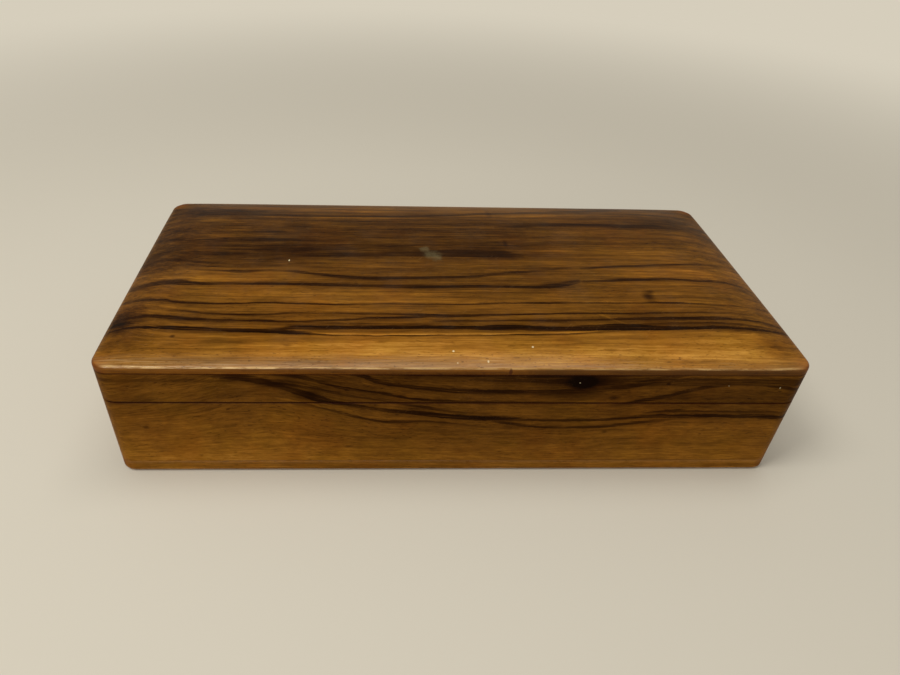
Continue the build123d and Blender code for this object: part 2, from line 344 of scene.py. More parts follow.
class Effects:
    """The shader groups that several finishes use, each built once; their places are in millimetres."""

    @functools.cached_property
    def fibre(self) -> NodeTree:
        """Build fibre, streaks, fine grain, mottling and open pores; X of Place runs along the grain.

        Returns:
            The group.
        """
        outputs = ("Fibre", "Streak", "Grain", "Mottle", "Pores", "Height")
        graph = ShaderGroup("Wood fibre", {"Place": "Vector", "Stretch": "Float"}, outputs)
        along, across, depth = graph.parts(graph["Place"])
        drawn = graph.joined(along / graph["Stretch"], across, depth)
        fibre = graph.noise(drawn, 1.5, 5.0, 0.62)
        streak = graph.noise(drawn, 0.36, 3.0, 0.6)
        fine = graph.noise(graph.joined(along * 0.17, across * 1.35, depth * 1.35), 1.0, 4.0, 0.68)
        mottle = graph.noise(graph.joined(along * 0.085, across * 0.2, depth * 0.2), 1.0, 5.0, 0.66)
        short = graph.joined(along * 0.36, across * 2.2, depth * 2.2)
        dashes = graph.noise(short, 1.0, 1.0, 0.4)
        patches = graph.noise(graph.joined(along * 0.04, across * 0.12, depth * 0.12), 1.0, 1.0)
        pores = graph.ease(dashes, 0.62, 0.72) * graph.ease(patches, 0.38, 0.62)
        height = fibre * 0.5 + fine * 0.3 - pores * 0.8
        return graph.closed(dict(zip(outputs, (fibre, streak, fine, mottle, pores, height))))

    @functools.cached_property
    def vein(self) -> NodeTree:
        """Build one dark line of the figure: Line holds its middle, half width and darkness here.

        Returns:
            The group.
        """
        inputs = {"Across": "Float", "Line": "Vector", "Upper feather": "Float", "Lower feather": "Float"}
        graph = ShaderGroup("Wood vein", inputs, ("Mask",))
        middle, half, dark = graph.parts(graph["Line"])
        offset = graph["Across"] - middle
        upper = graph.ease(offset, half, half + graph["Upper feather"], 1.0, 0.0)
        lower = graph.ease(0.0 - offset, half, half + graph["Lower feather"], 1.0, 0.0)
        core = upper * lower * dark
        halo = graph.ease(abs(offset), half, half + 2.6, 1.0, 0.0) * dark * (half + 0.3).least(1.0)
        return graph.closed({"Mask": core.most(halo * 0.22)})

    @functools.cached_property
    def patch(self) -> NodeTree:
        """Build a soft oval patch: 1 in the middle, 0 at its border.

        Returns:
            The group.
        """
        inputs = {"Place": "Vector", "Middle": "Vector", "Reach": "Vector"}
        graph = ShaderGroup("Soft patch", inputs, ("Mask",))
        offset = graph.vector("SUBTRACT", graph["Place"], graph["Middle"])
        reach = graph.length(graph.vector("DIVIDE", offset, graph["Reach"]))
        return graph.closed({"Mask": graph.ease(reach, 0.0, 1.0, 1.0, 0.0)})

    @functools.cached_property
    def wear(self) -> NodeTree:
        """Build the rubbing along the edges of a block: 1 on its worn edges, broken up by noise.

        Returns:
            The group.
        """
        inputs = {"Place": "Vector", "Middle": "Vector", "Half size": "Vector", "Reach": "Float"}
        graph = ShaderGroup("Edge wear", inputs, ("Edge", "Corner", "Worn"))
        offset = graph.vector("ABSOLUTE", graph.vector("SUBTRACT", graph["Place"], graph["Middle"]))
        sides = graph.parts(graph.vector("SUBTRACT", graph["Half size"], offset))
        near = [graph.ease(side, 0.0, graph["Reach"], 1.0, 0.0) for side in sides]
        edge = (near[0] * near[1]).most(near[1] * near[2]).most(near[0] * near[2])
        wide = [graph.ease(side, graph["Reach"] * 0.6, graph["Reach"] * 3.0, 1.0, 0.0) for side in sides]
        corner = wide[0] * wide[1] * wide[2]
        broken = graph.noise(graph["Place"], 0.35, 4.0, 0.6)
        worn = graph.ease(broken + edge * 0.35, 0.62, 0.80) * edge
        return graph.closed({"Edge": edge, "Corner": corner, "Worn": worn})

    @functools.cached_property
    def polish(self) -> NodeTree:
        """Build a hand-rubbed polish: smears in the gloss, fine scratches and a gentle ripple.

        Returns:
            The group.
        """
        graph = ShaderGroup("Hand polish", {"Place": "Vector"}, ("Smear", "Scratch", "Ripple"))
        smear = graph.noise(graph["Place"], 0.035, 3.0, 0.55)
        ripple = graph.noise(graph["Place"], 0.05, 1.0, 0.4)
        lines = []
        for turn, scale in ((0.35, 1.0), (-0.8, 0.8)):
            turned = graph.made("ShaderNodeMapping", {"Vector": graph["Place"], "Rotation": (0.2, 0.1, turn)})
            drawn = graph.vector("MULTIPLY", turned, (0.02, scale, scale))
            lines.append(graph.ease(graph.noise(drawn, 2.2, 1.0, 0.3), 0.71, 0.75))
        scratch = lines[0].most(lines[1]) * graph.ease(smear, 0.45, 0.6)
        return graph.closed({"Smear": smear, "Scratch": scratch, "Ripple": ripple})

    @functools.cached_property
    def weave(self) -> NodeTree:
        """Build a satin weave: long floats one way, fine threads the other; Pitch in millimetres.

        Returns:
            The group.
        """
        graph = ShaderGroup("Satin weave", {"Place": "Vector", "Pitch": "Float"}, ("Thread", "Slub", "Height"))
        along, across, depth = graph.parts(graph["Place"])
        rows = graph.math("SINE", (across + depth) / graph["Pitch"] * FULL_TURN)
        floats = graph.math("SINE", (along + (across + depth) * 0.4) / (graph["Pitch"] * 5.0) * FULL_TURN)
        slub = graph.noise(graph.joined(along * 0.05, across, depth), 1.1, 3.0, 0.6)
        thread = (rows * 0.35 + floats * 0.15 + 0.5).held()
        return graph.closed({"Thread": thread, "Slub": slub, "Height": thread * 0.8 + slub * 0.2})

    @functools.cached_property
    def dirt_and_shade(self) -> NodeTree:
        """Build a dark, ragged band along a joint, used for dark joint lines of old wax and dirt and for painted
        shade in the seam gap: Level and Reach in millimetres.

        Returns:
            The group.
        """
        inputs = {"Place": "Vector", "Level": "Float", "Reach": "Float"}
        graph = ShaderGroup("Joint grime", inputs, ("Mask",))
        height = graph.part(graph["Place"], 2)
        ragged = graph.noise(graph["Place"], 0.5, 3.0, 0.6)
        away = abs(height - graph["Level"]) + (ragged - 0.5) * graph["Reach"]
        line = graph.ease(away, graph["Reach"] * 0.35, graph["Reach"], 1.0, 0.0)
        return graph.closed({"Mask": line * (0.55 + ragged * 0.6)})

    @functools.cached_property
    def dust(self) -> NodeTree:
        """Build dust that settles on what faces up, in specks and a thin film.

        Returns:
            The group.
        """
        inputs = {"Place": "Vector", "Facing": "Vector"}
        graph = ShaderGroup("Settled dust", inputs, ("Film", "Speck"))
        up = graph.ease(graph.part(graph["Facing"], 2), 0.3, 0.95)
        film = graph.noise(graph["Place"], 0.06, 4.0, 0.6)
        specks = graph.noise(graph["Place"], 2.6, 0.0, 0.5)
        speck = graph.ease(specks, 0.80, 0.84) * up
        return graph.closed({"Film": graph.ease(film, 0.45, 0.75) * up, "Speck": speck})


EFFECTS = Effects()


# ---- Wood figure, drawn in real millimetres ----


@dataclass(frozen=True)
class Vein:
    """One line of the figure.

    Attributes:
        course: Its course as (along, across, half width, darkness) points, in millimetres.
        upper: How far its upper side fades out, in millimetres.
        lower: The same below.
    """

    course: tuple[tuple[float, float, float, float], ...]
    upper: float = 0.5
    lower: float = 0.5


@dataclass(frozen=True)
class Cloud:
    """A soft patch of lighter or darker wood.

    Attributes:
        middle: Where it is, along and across, in millimetres.
        reach: How far it goes, along and across.
        tone: What it adds to the tone.
    """

    middle: tuple[float, float]
    reach: tuple[float, float]
    tone: float


def clouds(*rows: tuple[float, float, float, float, float]) -> tuple[Cloud, ...]:
    """Make clouds from rows of middle along and across, reach along and across, and tone."""
    return tuple(Cloud(row[:2], row[2:4], row[4]) for row in rows)


@dataclass(frozen=True)
class Figure:
    """The drawn figure of one board.

    Attributes:
        tones: (across, left, middle, right) tones from 0, near black, to 1, honey.
        left: Where along the board the left tones start and end to take over.
        right: The same for the right tones.
        veins: Its dark lines.
        pale: Its pale lines.
        clouds: Its soft patches.
        flow: How far the fibre is shifted across the board, as (along, shift) points.
        flow_band: Where across the board that shift starts and is whole.
    """

    tones: tuple[tuple[float, float, float, float], ...]
    left: tuple[float, float]
    right: tuple[float, float]
    veins: tuple[Vein, ...] = ()
    pale: tuple[Vein, ...] = ()
    clouds: tuple[Cloud, ...] = ()
    flow: tuple[tuple[float, float], ...] = ((-210, 0), (0, 0), (210, 0))
    flow_band: tuple[float, float] = (-70, -60)


TOP_FIGURE = Figure(
    tones=(
        (-69, 0.67, 0.66, 0.70), (-66, 0.66, 0.74, 0.78), (-63, 0.66, 0.82, 0.84), (-56, 0.58, 0.73, 0.75),
        (-51, 0.54, 0.64, 0.68), (-46, 0.47, 0.49, 0.46), (-38, 0.54, 0.58, 0.52), (-29, 0.56, 0.58, 0.54),
        (-23, 0.54, 0.50, 0.54), (-17, 0.52, 0.44, 0.53), (-11, 0.55, 0.46, 0.56), (-4, 0.40, 0.44, 0.56),
        (3, 0.30, 0.42, 0.52), (9, 0.30, 0.30, 0.52), (20, 0.34, 0.32, 0.48), (31, 0.34, 0.33, 0.40),
        (42, 0.37, 0.35, 0.36), (49, 0.33, 0.40, 0.38), (56, 0.36, 0.50, 0.40), (69, 0.42, 0.50, 0.38),
    ),
    left=(-30, -85),
    right=(35, 85),
    veins=(
        Vein((
            (-140, -48.6, 0.3, 0.7), (-133, -47.4, 0.5, 0.85), (-120, -48.5, 0.6, 0.95), (-110, -49.7, 0.9, 1),
            (-98, -50.5, 0.85, 1), (-85, -51.0, 1.0, 1), (-72, -51.5, 1.0, 1), (-60, -52.3, 0.8, 0.9),
            (-54, -53.0, 0.35, 0.7), (-40, -53.4, 0.2, 0.6), (0, -53.1, 0.22, 0.65), (22, -52.7, 0.22, 0.65),
            (40, -52.3, 0.25, 0.65), (52, -51.5, 0.25, 0.55), (62, -50.6, 0.25, 0.4), (70, -50, 0.2, 0),
        ), 0.5, 0.25),
        Vein((
            (-76, -50.4, 0.2, 0), (-70, -50.0, 0.5, 0.7), (-64, -49.4, 0.8, 0.95), (-50, -49.3, 0.9, 0.95),
            (-40, -49.0, 0.85, 1), (-20, -48.8, 0.8, 1), (0, -48.8, 0.8, 1), (12, -48.7, 1.15, 1),
            (20, -48.6, 1.55, 1), (32, -48.9, 1.25, 1), (42, -49.0, 1.15, 0.95), (52, -48.7, 1.4, 0.95),
            (62, -48.1, 1.6, 1), (72, -48.0, 1.7, 1), (82, -48.3, 1.1, 1), (92, -48.3, 0.9, 1),
            (102, -47.7, 0.8, 0.95), (115, -47.2, 0.6, 0.9), (128, -47.1, 0.5, 0.8), (140, -46.4, 0.4, 0.5),
        ), 0.6, 0.25),
        Vein((
            (-140, -41.8, 0.6, 0.4), (-132, -40.6, 0.8, 0.6), (-122, -41.5, 0.9, 0.8), (-110, -43.8, 0.9, 0.85),
            (-100, -45.0, 0.6, 0.85), (-88, -45.3, 0.5, 0.8), (-78, -45.4, 0.35, 0.8), (-68, -45.9, 0.35, 0.8),
            (-55, -45.2, 0.3, 0.75), (-42, -44.4, 0.35, 0.8), (-34, -43.5, 0.6, 0.9), (-26, -43.3, 0.7, 0.85),
            (-18, -43.0, 0.45, 0.8), (-10, -42.2, 0.4, 0.6), (-4, -41.6, 0.3, 0),
        ), 0.6, 0.4),
        Vein((
            (-118, -38.6, 0.2, 0), (-110, -39.4, 0.35, 0.5), (-100, -41.1, 0.4, 0.7), (-88, -41.8, 0.45, 0.75),
            (-78, -41.7, 0.4, 0.7), (-68, -40.9, 0.35, 0.65), (-55, -40.6, 0.3, 0.6), (-40, -40.6, 0.35, 0.7),
            (-28, -40.7, 0.35, 0.7), (-16, -41.3, 0.7, 0.85), (-6, -41.8, 0.9, 0.9), (4, -41.6, 0.6, 0.85),
            (16, -41.0, 0.4, 0.75), (30, -40.4, 0.35, 0.75), (45, -39.7, 0.4, 0.8), (60, -39.4, 0.4, 0.8),
            (75, -39.4, 0.4, 0.8), (90, -38.8, 0.35, 0.7), (105, -38.2, 0.3, 0.45), (125, -37.2, 0.3, 0.25),
            (140, -36, 0.2, 0),
        ), 0.5, 0.4),
        Vein((
            (-10, -45.2, 0.2, 0), (2, -44.8, 0.3, 0.6), (15, -44.6, 0.3, 0.6), (28, -44.3, 0.35, 0.65),
            (40, -44.3, 0.35, 0.6), (52, -43.8, 0.35, 0.65), (65, -43.3, 0.45, 0.75), (80, -42.7, 0.7, 0.8),
            (95, -42.2, 0.8, 0.85), (108, -41.9, 0.7, 0.8), (120, -41.4, 0.5, 0.75), (130, -41.6, 0.45, 0.6),
            (140, -42.8, 0.4, 0.3),
        )),
        Vein((
            (70, -46.2, 0.2, 0), (82, -45.7, 0.3, 0.5), (98, -45.2, 0.45, 0.6), (115, -44.8, 0.4, 0.55),
            (128, -45.0, 0.4, 0.5), (140, -46.0, 0.2, 0.2),
        )),
        Vein((
            (-140, -27.6, 0.6, 0.2), (-131, -28.5, 0.7, 0.6), (-122, -30.4, 0.6, 0.75), (-115, -32.6, 0.6, 0.85),
            (-107, -34.1, 0.45, 0.85), (-98, -34.7, 0.35, 0.8), (-90, -34.7, 0.3, 0.75), (-80, -33.8, 0.35, 0.8),
            (-68, -34.2, 0.35, 0.8), (-52, -34.8, 0.3, 0.8), (-40, -34.5, 0.25, 0.65), (-25, -34.1, 0.25, 0.65),
            (-8, -34.3, 0.3, 0.75), (4, -34.0, 0.35, 0.8), (14, -33.3, 0.35, 0.8), (26, -32.8, 0.3, 0.75),
            (38, -32.7, 0.5, 0.8), (52, -32.5, 0.35, 0.7), (66, -32.4, 0.3, 0.65), (80, -32.1, 0.35, 0.65),
            (90, -31.8, 0.6, 0.75), (100, -32.0, 0.5, 0.65), (112, -32.6, 0.3, 0.5), (126, -31.6, 0.3, 0.4),
            (140, -30.5, 0.3, 0.1),
        ), 0.4, 0.5),
        Vein((
            (-140, -18.0, 0.8, 0.3), (-130, -17.0, 1.2, 0.6), (-118, -18.0, 1.6, 0.8), (-108, -19.9, 0.9, 0.9),
            (-98, -20.3, 0.5, 0.85), (-85, -20.3, 0.45, 0.8), (-70, -20.1, 0.5, 0.8), (-55, -20.5, 0.9, 0.75),
            (-40, -21.0, 0.8, 0.75), (-20, -21.5, 0.8, 0.8), (-5, -21.4, 0.7, 0.85), (10, -20.9, 0.6, 0.8),
            (28, -21.0, 0.6, 0.8), (40, -20.6, 0.9, 0.85), (48, -19.2, 1.3, 0.9), (54, -17.4, 1.2, 0.8),
            (59, -15.6, 0.6, 0),
        ), 1.2, 0.6),
        Vein((
            (-112, -8.6, 0.3, 0), (-100, -9.8, 0.4, 0.5), (-90, -10.5, 0.5, 0.75), (-80, -9.4, 0.3, 0.35),
            (-70, -9.8, 0.5, 0.6), (-58, -11.9, 0.7, 0.75), (-48, -13.8, 0.8, 0.85), (-35, -14.8, 0.8, 0.85),
            (-20, -14.4, 0.7, 0.85), (-5, -13.9, 0.6, 0.8), (6, -13.4, 0.6, 0.8), (14, -12.5, 0.6, 0.75),
            (20, -11.0, 0.5, 0.55), (28, -9.4, 0.6, 0.6), (38, -8.0, 0.5, 0.5), (48, -6.5, 0.5, 0.35),
            (58, -4.5, 0.4, 0),
        ), 1.0, 0.7),
        Vein((
            (60, -5.0, 0.3, 0), (68, -4.2, 0.5, 0.6), (78, -3.1, 0.5, 0.65), (90, -2.2, 0.5, 0.65),
            (104, -0.9, 0.45, 0.65), (114, 0.4, 0.4, 0.6), (124, 1.8, 0.4, 0.4), (134, 3.5, 0.3, 0),
        ), 0.8, 0.6),
        Vein((
            (58, -16.5, 0.3, 0), (66, -15.5, 0.6, 0.6), (76, -14.6, 0.7, 0.75), (88, -14.0, 0.7, 0.8),
            (100, -13.7, 0.6, 0.75), (112, -13.8, 0.6, 0.7), (122, -13.0, 0.6, 0.6), (132, -13.5, 0.4, 0.4),
            (140, -16, 0.3, 0),
        ), 0.8, 0.8),
        Vein((
            (-75, 3.2, 0.4, 0), (-60, 4.4, 1.0, 0.5), (-48, 5.0, 1.3, 0.6), (-36, 5.2, 1.0, 0.5),
            (-24, 5.6, 1.3, 0.68), (-12, 5.9, 1.6, 0.74), (0, 6.8, 2.4, 0.66), (15, 7.0, 2.7, 0.72),
            (26, 6.8, 2.5, 0.88), (32, 6.0, 1.6, 0.6), (37, 5.0, 0.8, 0),
        ), 2.5, 0.8),
        Vein((
            (-105, 46.8, 0.5, 0.2), (-85, 46.0, 0.8, 0.5), (-70, 45.3, 0.7, 0.6), (-55, 45.2, 0.6, 0.6),
            (-38, 46.0, 0.6, 0.6), (-20, 46.8, 0.7, 0.6), (0, 48.6, 0.9, 0.65), (10, 49.6, 1.0, 0.6),
            (20, 51.2, 0.9, 0.55), (35, 53.2, 0.9, 0.5), (52, 55.2, 1.2, 0.45), (70, 57.8, 1.5, 0.5),
            (88, 60.5, 1.3, 0.4), (100, 62.0, 1.0, 0),
        ), 1.4, 1.0),
        Vein((
            (26, 33.5, 0.4, 0), (36, 35.0, 0.6, 0.45), (48, 36.8, 0.8, 0.5), (62, 37.6, 0.8, 0.6),
            (76, 37.6, 0.9, 0.6), (90, 37.2, 1.1, 0.6), (105, 37.2, 1.3, 0.5), (120, 38.2, 1.2, 0.4),
            (135, 40.0, 1.0, 0.2),
        ), 2.0, 1.2),
    ),
    pale=(
        Vein((
            (-66, -51.2, 0.15, 0), (-56, -52.2, 0.2, 0.8), (-40, -52.6, 0.2, 0.8), (0, -52.3, 0.2, 0.7),
            (30, -51.9, 0.2, 0.8), (48, -51.0, 0.2, 0.7), (58, -50.4, 0.1, 0),
        ), 0.3, 0.3),
        Vein((
            (60, -40, 0.1, 0), (63, -41.5, 0.4, 0.5), (66, -44, 0.5, 0.5), (69, -45.6, 0.4, 0.5), (72, -46.6, 0.1, 0),
        )),
        Vein((
            (-90, 43.8, 0.5, 0), (-75, 43.3, 0.8, 0.4), (-50, 42.6, 0.9, 0.4), (-25, 42.8, 0.9, 0.35),
            (-5, 44, 0.8, 0),
        ), 1, 1),
    ),
    flow=((-140, 5.2), (-128, 4.2), (-117, 1.8), (-106, 0.2), (-60, 0), (60, 0.4), (140, 1.6)),
    flow_band=(-62, -48),
    clouds=clouds(
        (-98, -15, 48, 6, 0.14), (-138, -40, 22, 18, -0.16), (-128, 57, 18, 8, -0.12), (-70, 56, 18, 5, 0.10),
        (13, 50, 18, 4, 0.12), (132, -61, 16, 9, -0.14), (-70, -60, 20, 8, 0.08), (42, -64, 18, 4, 0.08),
        (42, -44.6, 18, 3, -0.16), (-54, -44.4, 34, 3.4, 0.12), (-93, 56.5, 24, 2.4, 0.12),
        (-42, 43.6, 48, 1.6, 0.12), (-115, 39.5, 8, 3, 0.12), (-100, 36.2, 13, 1.3, 0.13), (-104, 28, 18, 1.2, 0.15),
        (-66, 26.4, 18, 1.1, 0.10), (-114, 20.4, 14, 1.4, 0.17), (-32, 20.2, 18, 1.0, 0.12),
        (-34, 10.2, 12, 0.9, 0.14), (-22, 29, 22, 1.1, 0.10), (27, 34.2, 13, 1.0, 0.12), (60, 51, 28, 2.6, 0.10),
        (-84, 26.8, 14, 1.4, -0.14), (-83, 19.3, 14, 1.3, -0.16), (-28, 21.8, 14, 1.0, -0.12),
        (-26, 13, 20, 1.3, -0.14), (-70, 10.5, 30, 7, -0.07), (-50, 39.6, 44, 1.5, -0.10),
        (-100, 32.4, 24, 1.6, -0.10), (-58, 61.5, 56, 2, -0.10), (29.5, 17, 1.8, 5, -0.14),
        (100, 36.5, 22, 4.5, -0.07), (98, -8, 44, 8, 0.10), (110, 9, 30, 12, 0.05), (-112, 51, 28, 12, -0.14),
        (-80, 12, 55, 16, -0.07), (-112, 41, 16, 5, 0.14), (85, -27, 3.6, 6, -0.30), (87, -23.5, 2.6, 2.6, -0.18),
        (-130, 10, 18, 60, -0.06), (48, 49, 44, 4.5, 0.12), (114, 46, 30, 13, -0.07), (60, 26, 34, 6, 0.05),
        (70, 32, 22, 6, 0.10), (46, 12, 34, 8, 0.10), (46, 2, 26, 6, 0.10), (132, -56, 16, 9, -0.16),
        (-132, -56, 16, 9, -0.12), (-134, -38, 12, 10, -0.16), (26, 52, 2.4, 10, -0.12), (-111, -54, 1.6, 1.2, -0.30),
        (-66, -58.5, 2.6, 0.8, -0.20), (-30, -57, 3.4, 0.7, -0.18), (60, -60, 5.0, 0.8, -0.12),
        (-132, -17.5, 12, 5, -0.16), (-132, -44.5, 12, 3, -0.18), (-90, -6, 60, 4, -0.09), (-44, 3, 32, 5, -0.10),
        (-14, 56, 16, 5, -0.12), (70, 22, 18, 6, -0.12), (14, -27, 24, 5, -0.10), (-14, -37, 18, 4.5, -0.10),
        (-70, 33, 16, 5, -0.12),
    ),
)

FRONT_FIGURE = Figure(
    # Towards the foot the tones rise: the wood's own tone, with painted light from the floor's bounce.
    tones=(
        (0, 0.74, 0.66, 0.70), (10, 0.72, 0.64, 0.68), (16, 0.66, 0.58, 0.62), (24, 0.62, 0.54, 0.62),
        (29, 0.60, 0.52, 0.58), (33, 0.59, 0.52, 0.52), (38, 0.56, 0.50, 0.46), (43, 0.54, 0.46, 0.42),
        (48, 0.56, 0.45, 0.49), (52, 0.50, 0.39, 0.50), (56, 0.46, 0.34, 0.48),
    ),
    left=(-25, -85),
    right=(50, 85),
    veins=(
        Vein((
            (-98, 53.4, 0.4, 0), (-90, 52.9, 1.0, 0.6), (-83, 52.2, 1.5, 0.8), (-77, 50.8, 1.5, 0.7),
            (-71, 48.7, 1.2, 0.65), (-65, 46.2, 1.2, 0.75), (-60, 43.9, 1.5, 0.85), (-55, 41.6, 1.4, 0.95),
            (-49, 39.8, 0.9, 0.95), (-42, 38.2, 0.7, 0.85), (-35, 36.6, 0.5, 0.75), (-28, 35.0, 0.5, 0.75),
            (-20, 34.0, 0.7, 0.8), (-10, 33.0, 1.0, 0.95), (0, 31.6, 1.0, 1), (10, 30.8, 0.9, 1),
            (22, 30.2, 0.6, 0.85), (34, 29.8, 0.4, 0.75), (50, 29.8, 0.4, 0.75), (62, 30.1, 0.4, 0.75),
            (72, 31.1, 0.5, 0.8), (82, 32.1, 0.6, 0.85), (95, 32.2, 0.7, 0.9), (110, 32.1, 0.7, 0.95),
            (125, 32.0, 0.7, 0.95), (140, 31.0, 0.6, 0.9), (175, 29.0, 0.6, 0.8), (210, 30.5, 0.5, 0.6),
        ), 1.0, 0.4),
        Vein((
            (-72, 53.6, 0.3, 0), (-66, 53.2, 0.6, 0.9), (-60, 52.4, 0.8, 0.95), (-55, 50.9, 0.6, 0.85),
            (-50, 49.1, 0.5, 0.8), (-45, 47.3, 0.5, 0.8), (-40, 46.1, 0.5, 0.75), (-30, 44.5, 0.45, 0.8),
            (-22, 42.5, 0.45, 0.8), (-14, 41.0, 0.4, 0.8), (-4, 40.3, 0.4, 0.7), (10, 40.1, 0.4, 0.5),
            (30, 39.8, 0.4, 0.3), (50, 39.6, 0.3, 0),
        )),
        Vein((
            (-80, 50.5, 0.4, 0.3), (-70, 48.9, 0.5, 0.6), (-62, 47.9, 0.4, 0.6), (-54, 46.4, 0.4, 0.6),
            (-48, 44.6, 0.4, 0.5), (-42, 43.0, 0.4, 0.4), (-34, 41.2, 0.3, 0.4), (-25, 39.6, 0.3, 0.4),
            (-15, 37.6, 0.5, 0.6), (-5, 35.2, 0.5, 0.5), (5, 33.6, 0.3, 0.3), (15, 33.0, 0.3, 0),
        ), 0.8, 0.6),
        Vein((
            (-42, 54.5, 0.4, 0), (-37, 53.2, 0.7, 0.85), (-33, 51.2, 0.8, 0.9), (-28, 49.6, 0.7, 0.9),
            (-20, 48.2, 0.7, 0.85), (-12, 46.8, 0.7, 0.85), (-2, 45.8, 0.8, 0.85), (10, 45.3, 0.8, 0.85),
            (25, 45.1, 0.8, 0.85), (38, 45.2, 0.9, 0.8), (46, 45.6, 1.2, 0.6), (55, 46.4, 1.0, 0.3), (64, 47, 0.6, 0),
        ), 0.8, 0.6),
        Vein((
            (-28, 54.2, 0.2, 0), (-18, 53.8, 0.3, 0.7), (0, 53.6, 0.35, 0.8), (20, 53.5, 0.4, 0.8),
            (40, 53.4, 0.8, 0.9), (60, 53.5, 0.6, 0.8), (70, 53.9, 0.3, 0.3), (80, 54.5, 0.2, 0),
        )),
        Vein((
            (4, 51.6, 0.3, 0), (14, 51.4, 0.5, 0.5), (26, 51.2, 0.6, 0.6), (38, 50.8, 1.0, 0.7), (44, 50.5, 1.5, 0.6),
        ), 1, 1),
        Vein((
            (-64, 40.0, 0.2, 0), (-56, 37.4, 0.3, 0.5), (-50, 35.6, 0.35, 0.6), (-44, 33.3, 0.35, 0.6),
            (-38, 31.3, 0.35, 0.65), (-30, 29.3, 0.4, 0.7), (-22, 28.9, 0.4, 0.6), (-14, 29.2, 0.35, 0.6),
            (-6, 28.6, 0.3, 0.5), (4, 27.2, 0.3, 0.4), (14, 26.2, 0.3, 0),
        ), 0.5, 0.9),
        Vein((
            (14, 29.6, 0.2, 0), (22, 28.0, 0.4, 0.7), (30, 26.4, 0.4, 0.75), (40, 25.8, 0.35, 0.7),
            (52, 25.6, 0.35, 0.65), (62, 26.2, 0.4, 0.7), (72, 27.8, 0.45, 0.75), (80, 29.0, 0.4, 0.6),
            (90, 30.4, 0.3, 0.3), (100, 31, 0.2, 0),
        ), 1.2, 0.5),
        Vein((
            (54, 45.5, 0.5, 0), (62, 47.4, 0.9, 0.65), (69, 48.8, 1.0, 0.8), (75, 50.6, 1.1, 0.8),
            (81, 52.4, 1.0, 0.75), (88, 54.2, 0.8, 0.5), (96, 56, 0.5, 0),
        ), 0.9, 0.9),
        Vein((
            (58, 37.6, 0.3, 0), (68, 39.0, 0.4, 0.5), (76, 41.2, 0.7, 0.8), (84, 43.2, 0.6, 0.75),
            (91, 45.8, 0.6, 0.75), (98, 47.9, 0.6, 0.8), (105, 49.2, 0.55, 0.8), (113, 49.8, 0.5, 0.75),
            (121, 49.5, 0.5, 0.75), (129, 48.3, 0.5, 0.7), (140, 45.6, 0.5, 0.6), (170, 42, 0.5, 0.5),
            (210, 43, 0.5, 0.4),
        ), 0.6, 1.2),
        Vein((
            (76, 33.8, 0.2, 0), (84, 35.0, 0.3, 0.6), (92, 35.4, 0.35, 0.65), (104, 34.9, 0.3, 0.6),
            (118, 35.0, 0.3, 0.55), (130, 34.6, 0.3, 0.5), (145, 33.8, 0.2, 0.4), (180, 33, 0.2, 0),
        ), 0.3, 1.6),
    ),
    flow=(
        (-210, 1), (-140, 3), (-105, 8), (-86, 12), (-70, 12), (-55, 9), (-40, 6), (-25, 3.4), (-10, 1.8), (0, 0.6),
        (20, -0.6), (50, -1), (70, 0.2), (90, 1.4), (110, 1.2), (140, 0), (210, 0),
    ),
    flow_band=(4, 48),
    clouds=clouds(
        (-84, 44.5, 32, 7, -0.08), (-40, 50, 13, 3.4, 0.10), (44, 43.4, 20, 4.5, -0.11), (50, 50, 13, 6, -0.14),
        (-110, 7, 60, 7, 0.06), (-86, 51.5, 10, 3.0, -0.14), (-70, 48.5, 13, 4.6, -0.14), (-50, 47, 28, 8, -0.12),
        (-58, 43, 12, 4.5, -0.14), (50, 50, 20, 8, -0.24), (48.5, 50.6, 8, 4.6, -0.50), (50, 49.8, 6, 3.6, -0.40),
        (5, 21, 52, 9, -0.05), (-65, 14, 40, 13, 0.04), (108, 41, 46, 9, -0.05), (63, 42, 3.5, 1.8, -0.25),
        (83, 49.9, 1.4, 1.0, -0.35), (-124, 25.8, 2.0, 1.2, -0.22), (-43, 15, 3.0, 1.0, -0.18),
        (63, 23, 1.6, 1.4, -0.14), (-15, 35.8, 13, 4.2, -0.20), (13, 31, 18, 3.4, -0.13), (-70, 49.5, 15, 3.6, -0.20),
        (52, 43.4, 30, 3.5, -0.07), (-128, 40, 20, 9, -0.07),
    ),
)

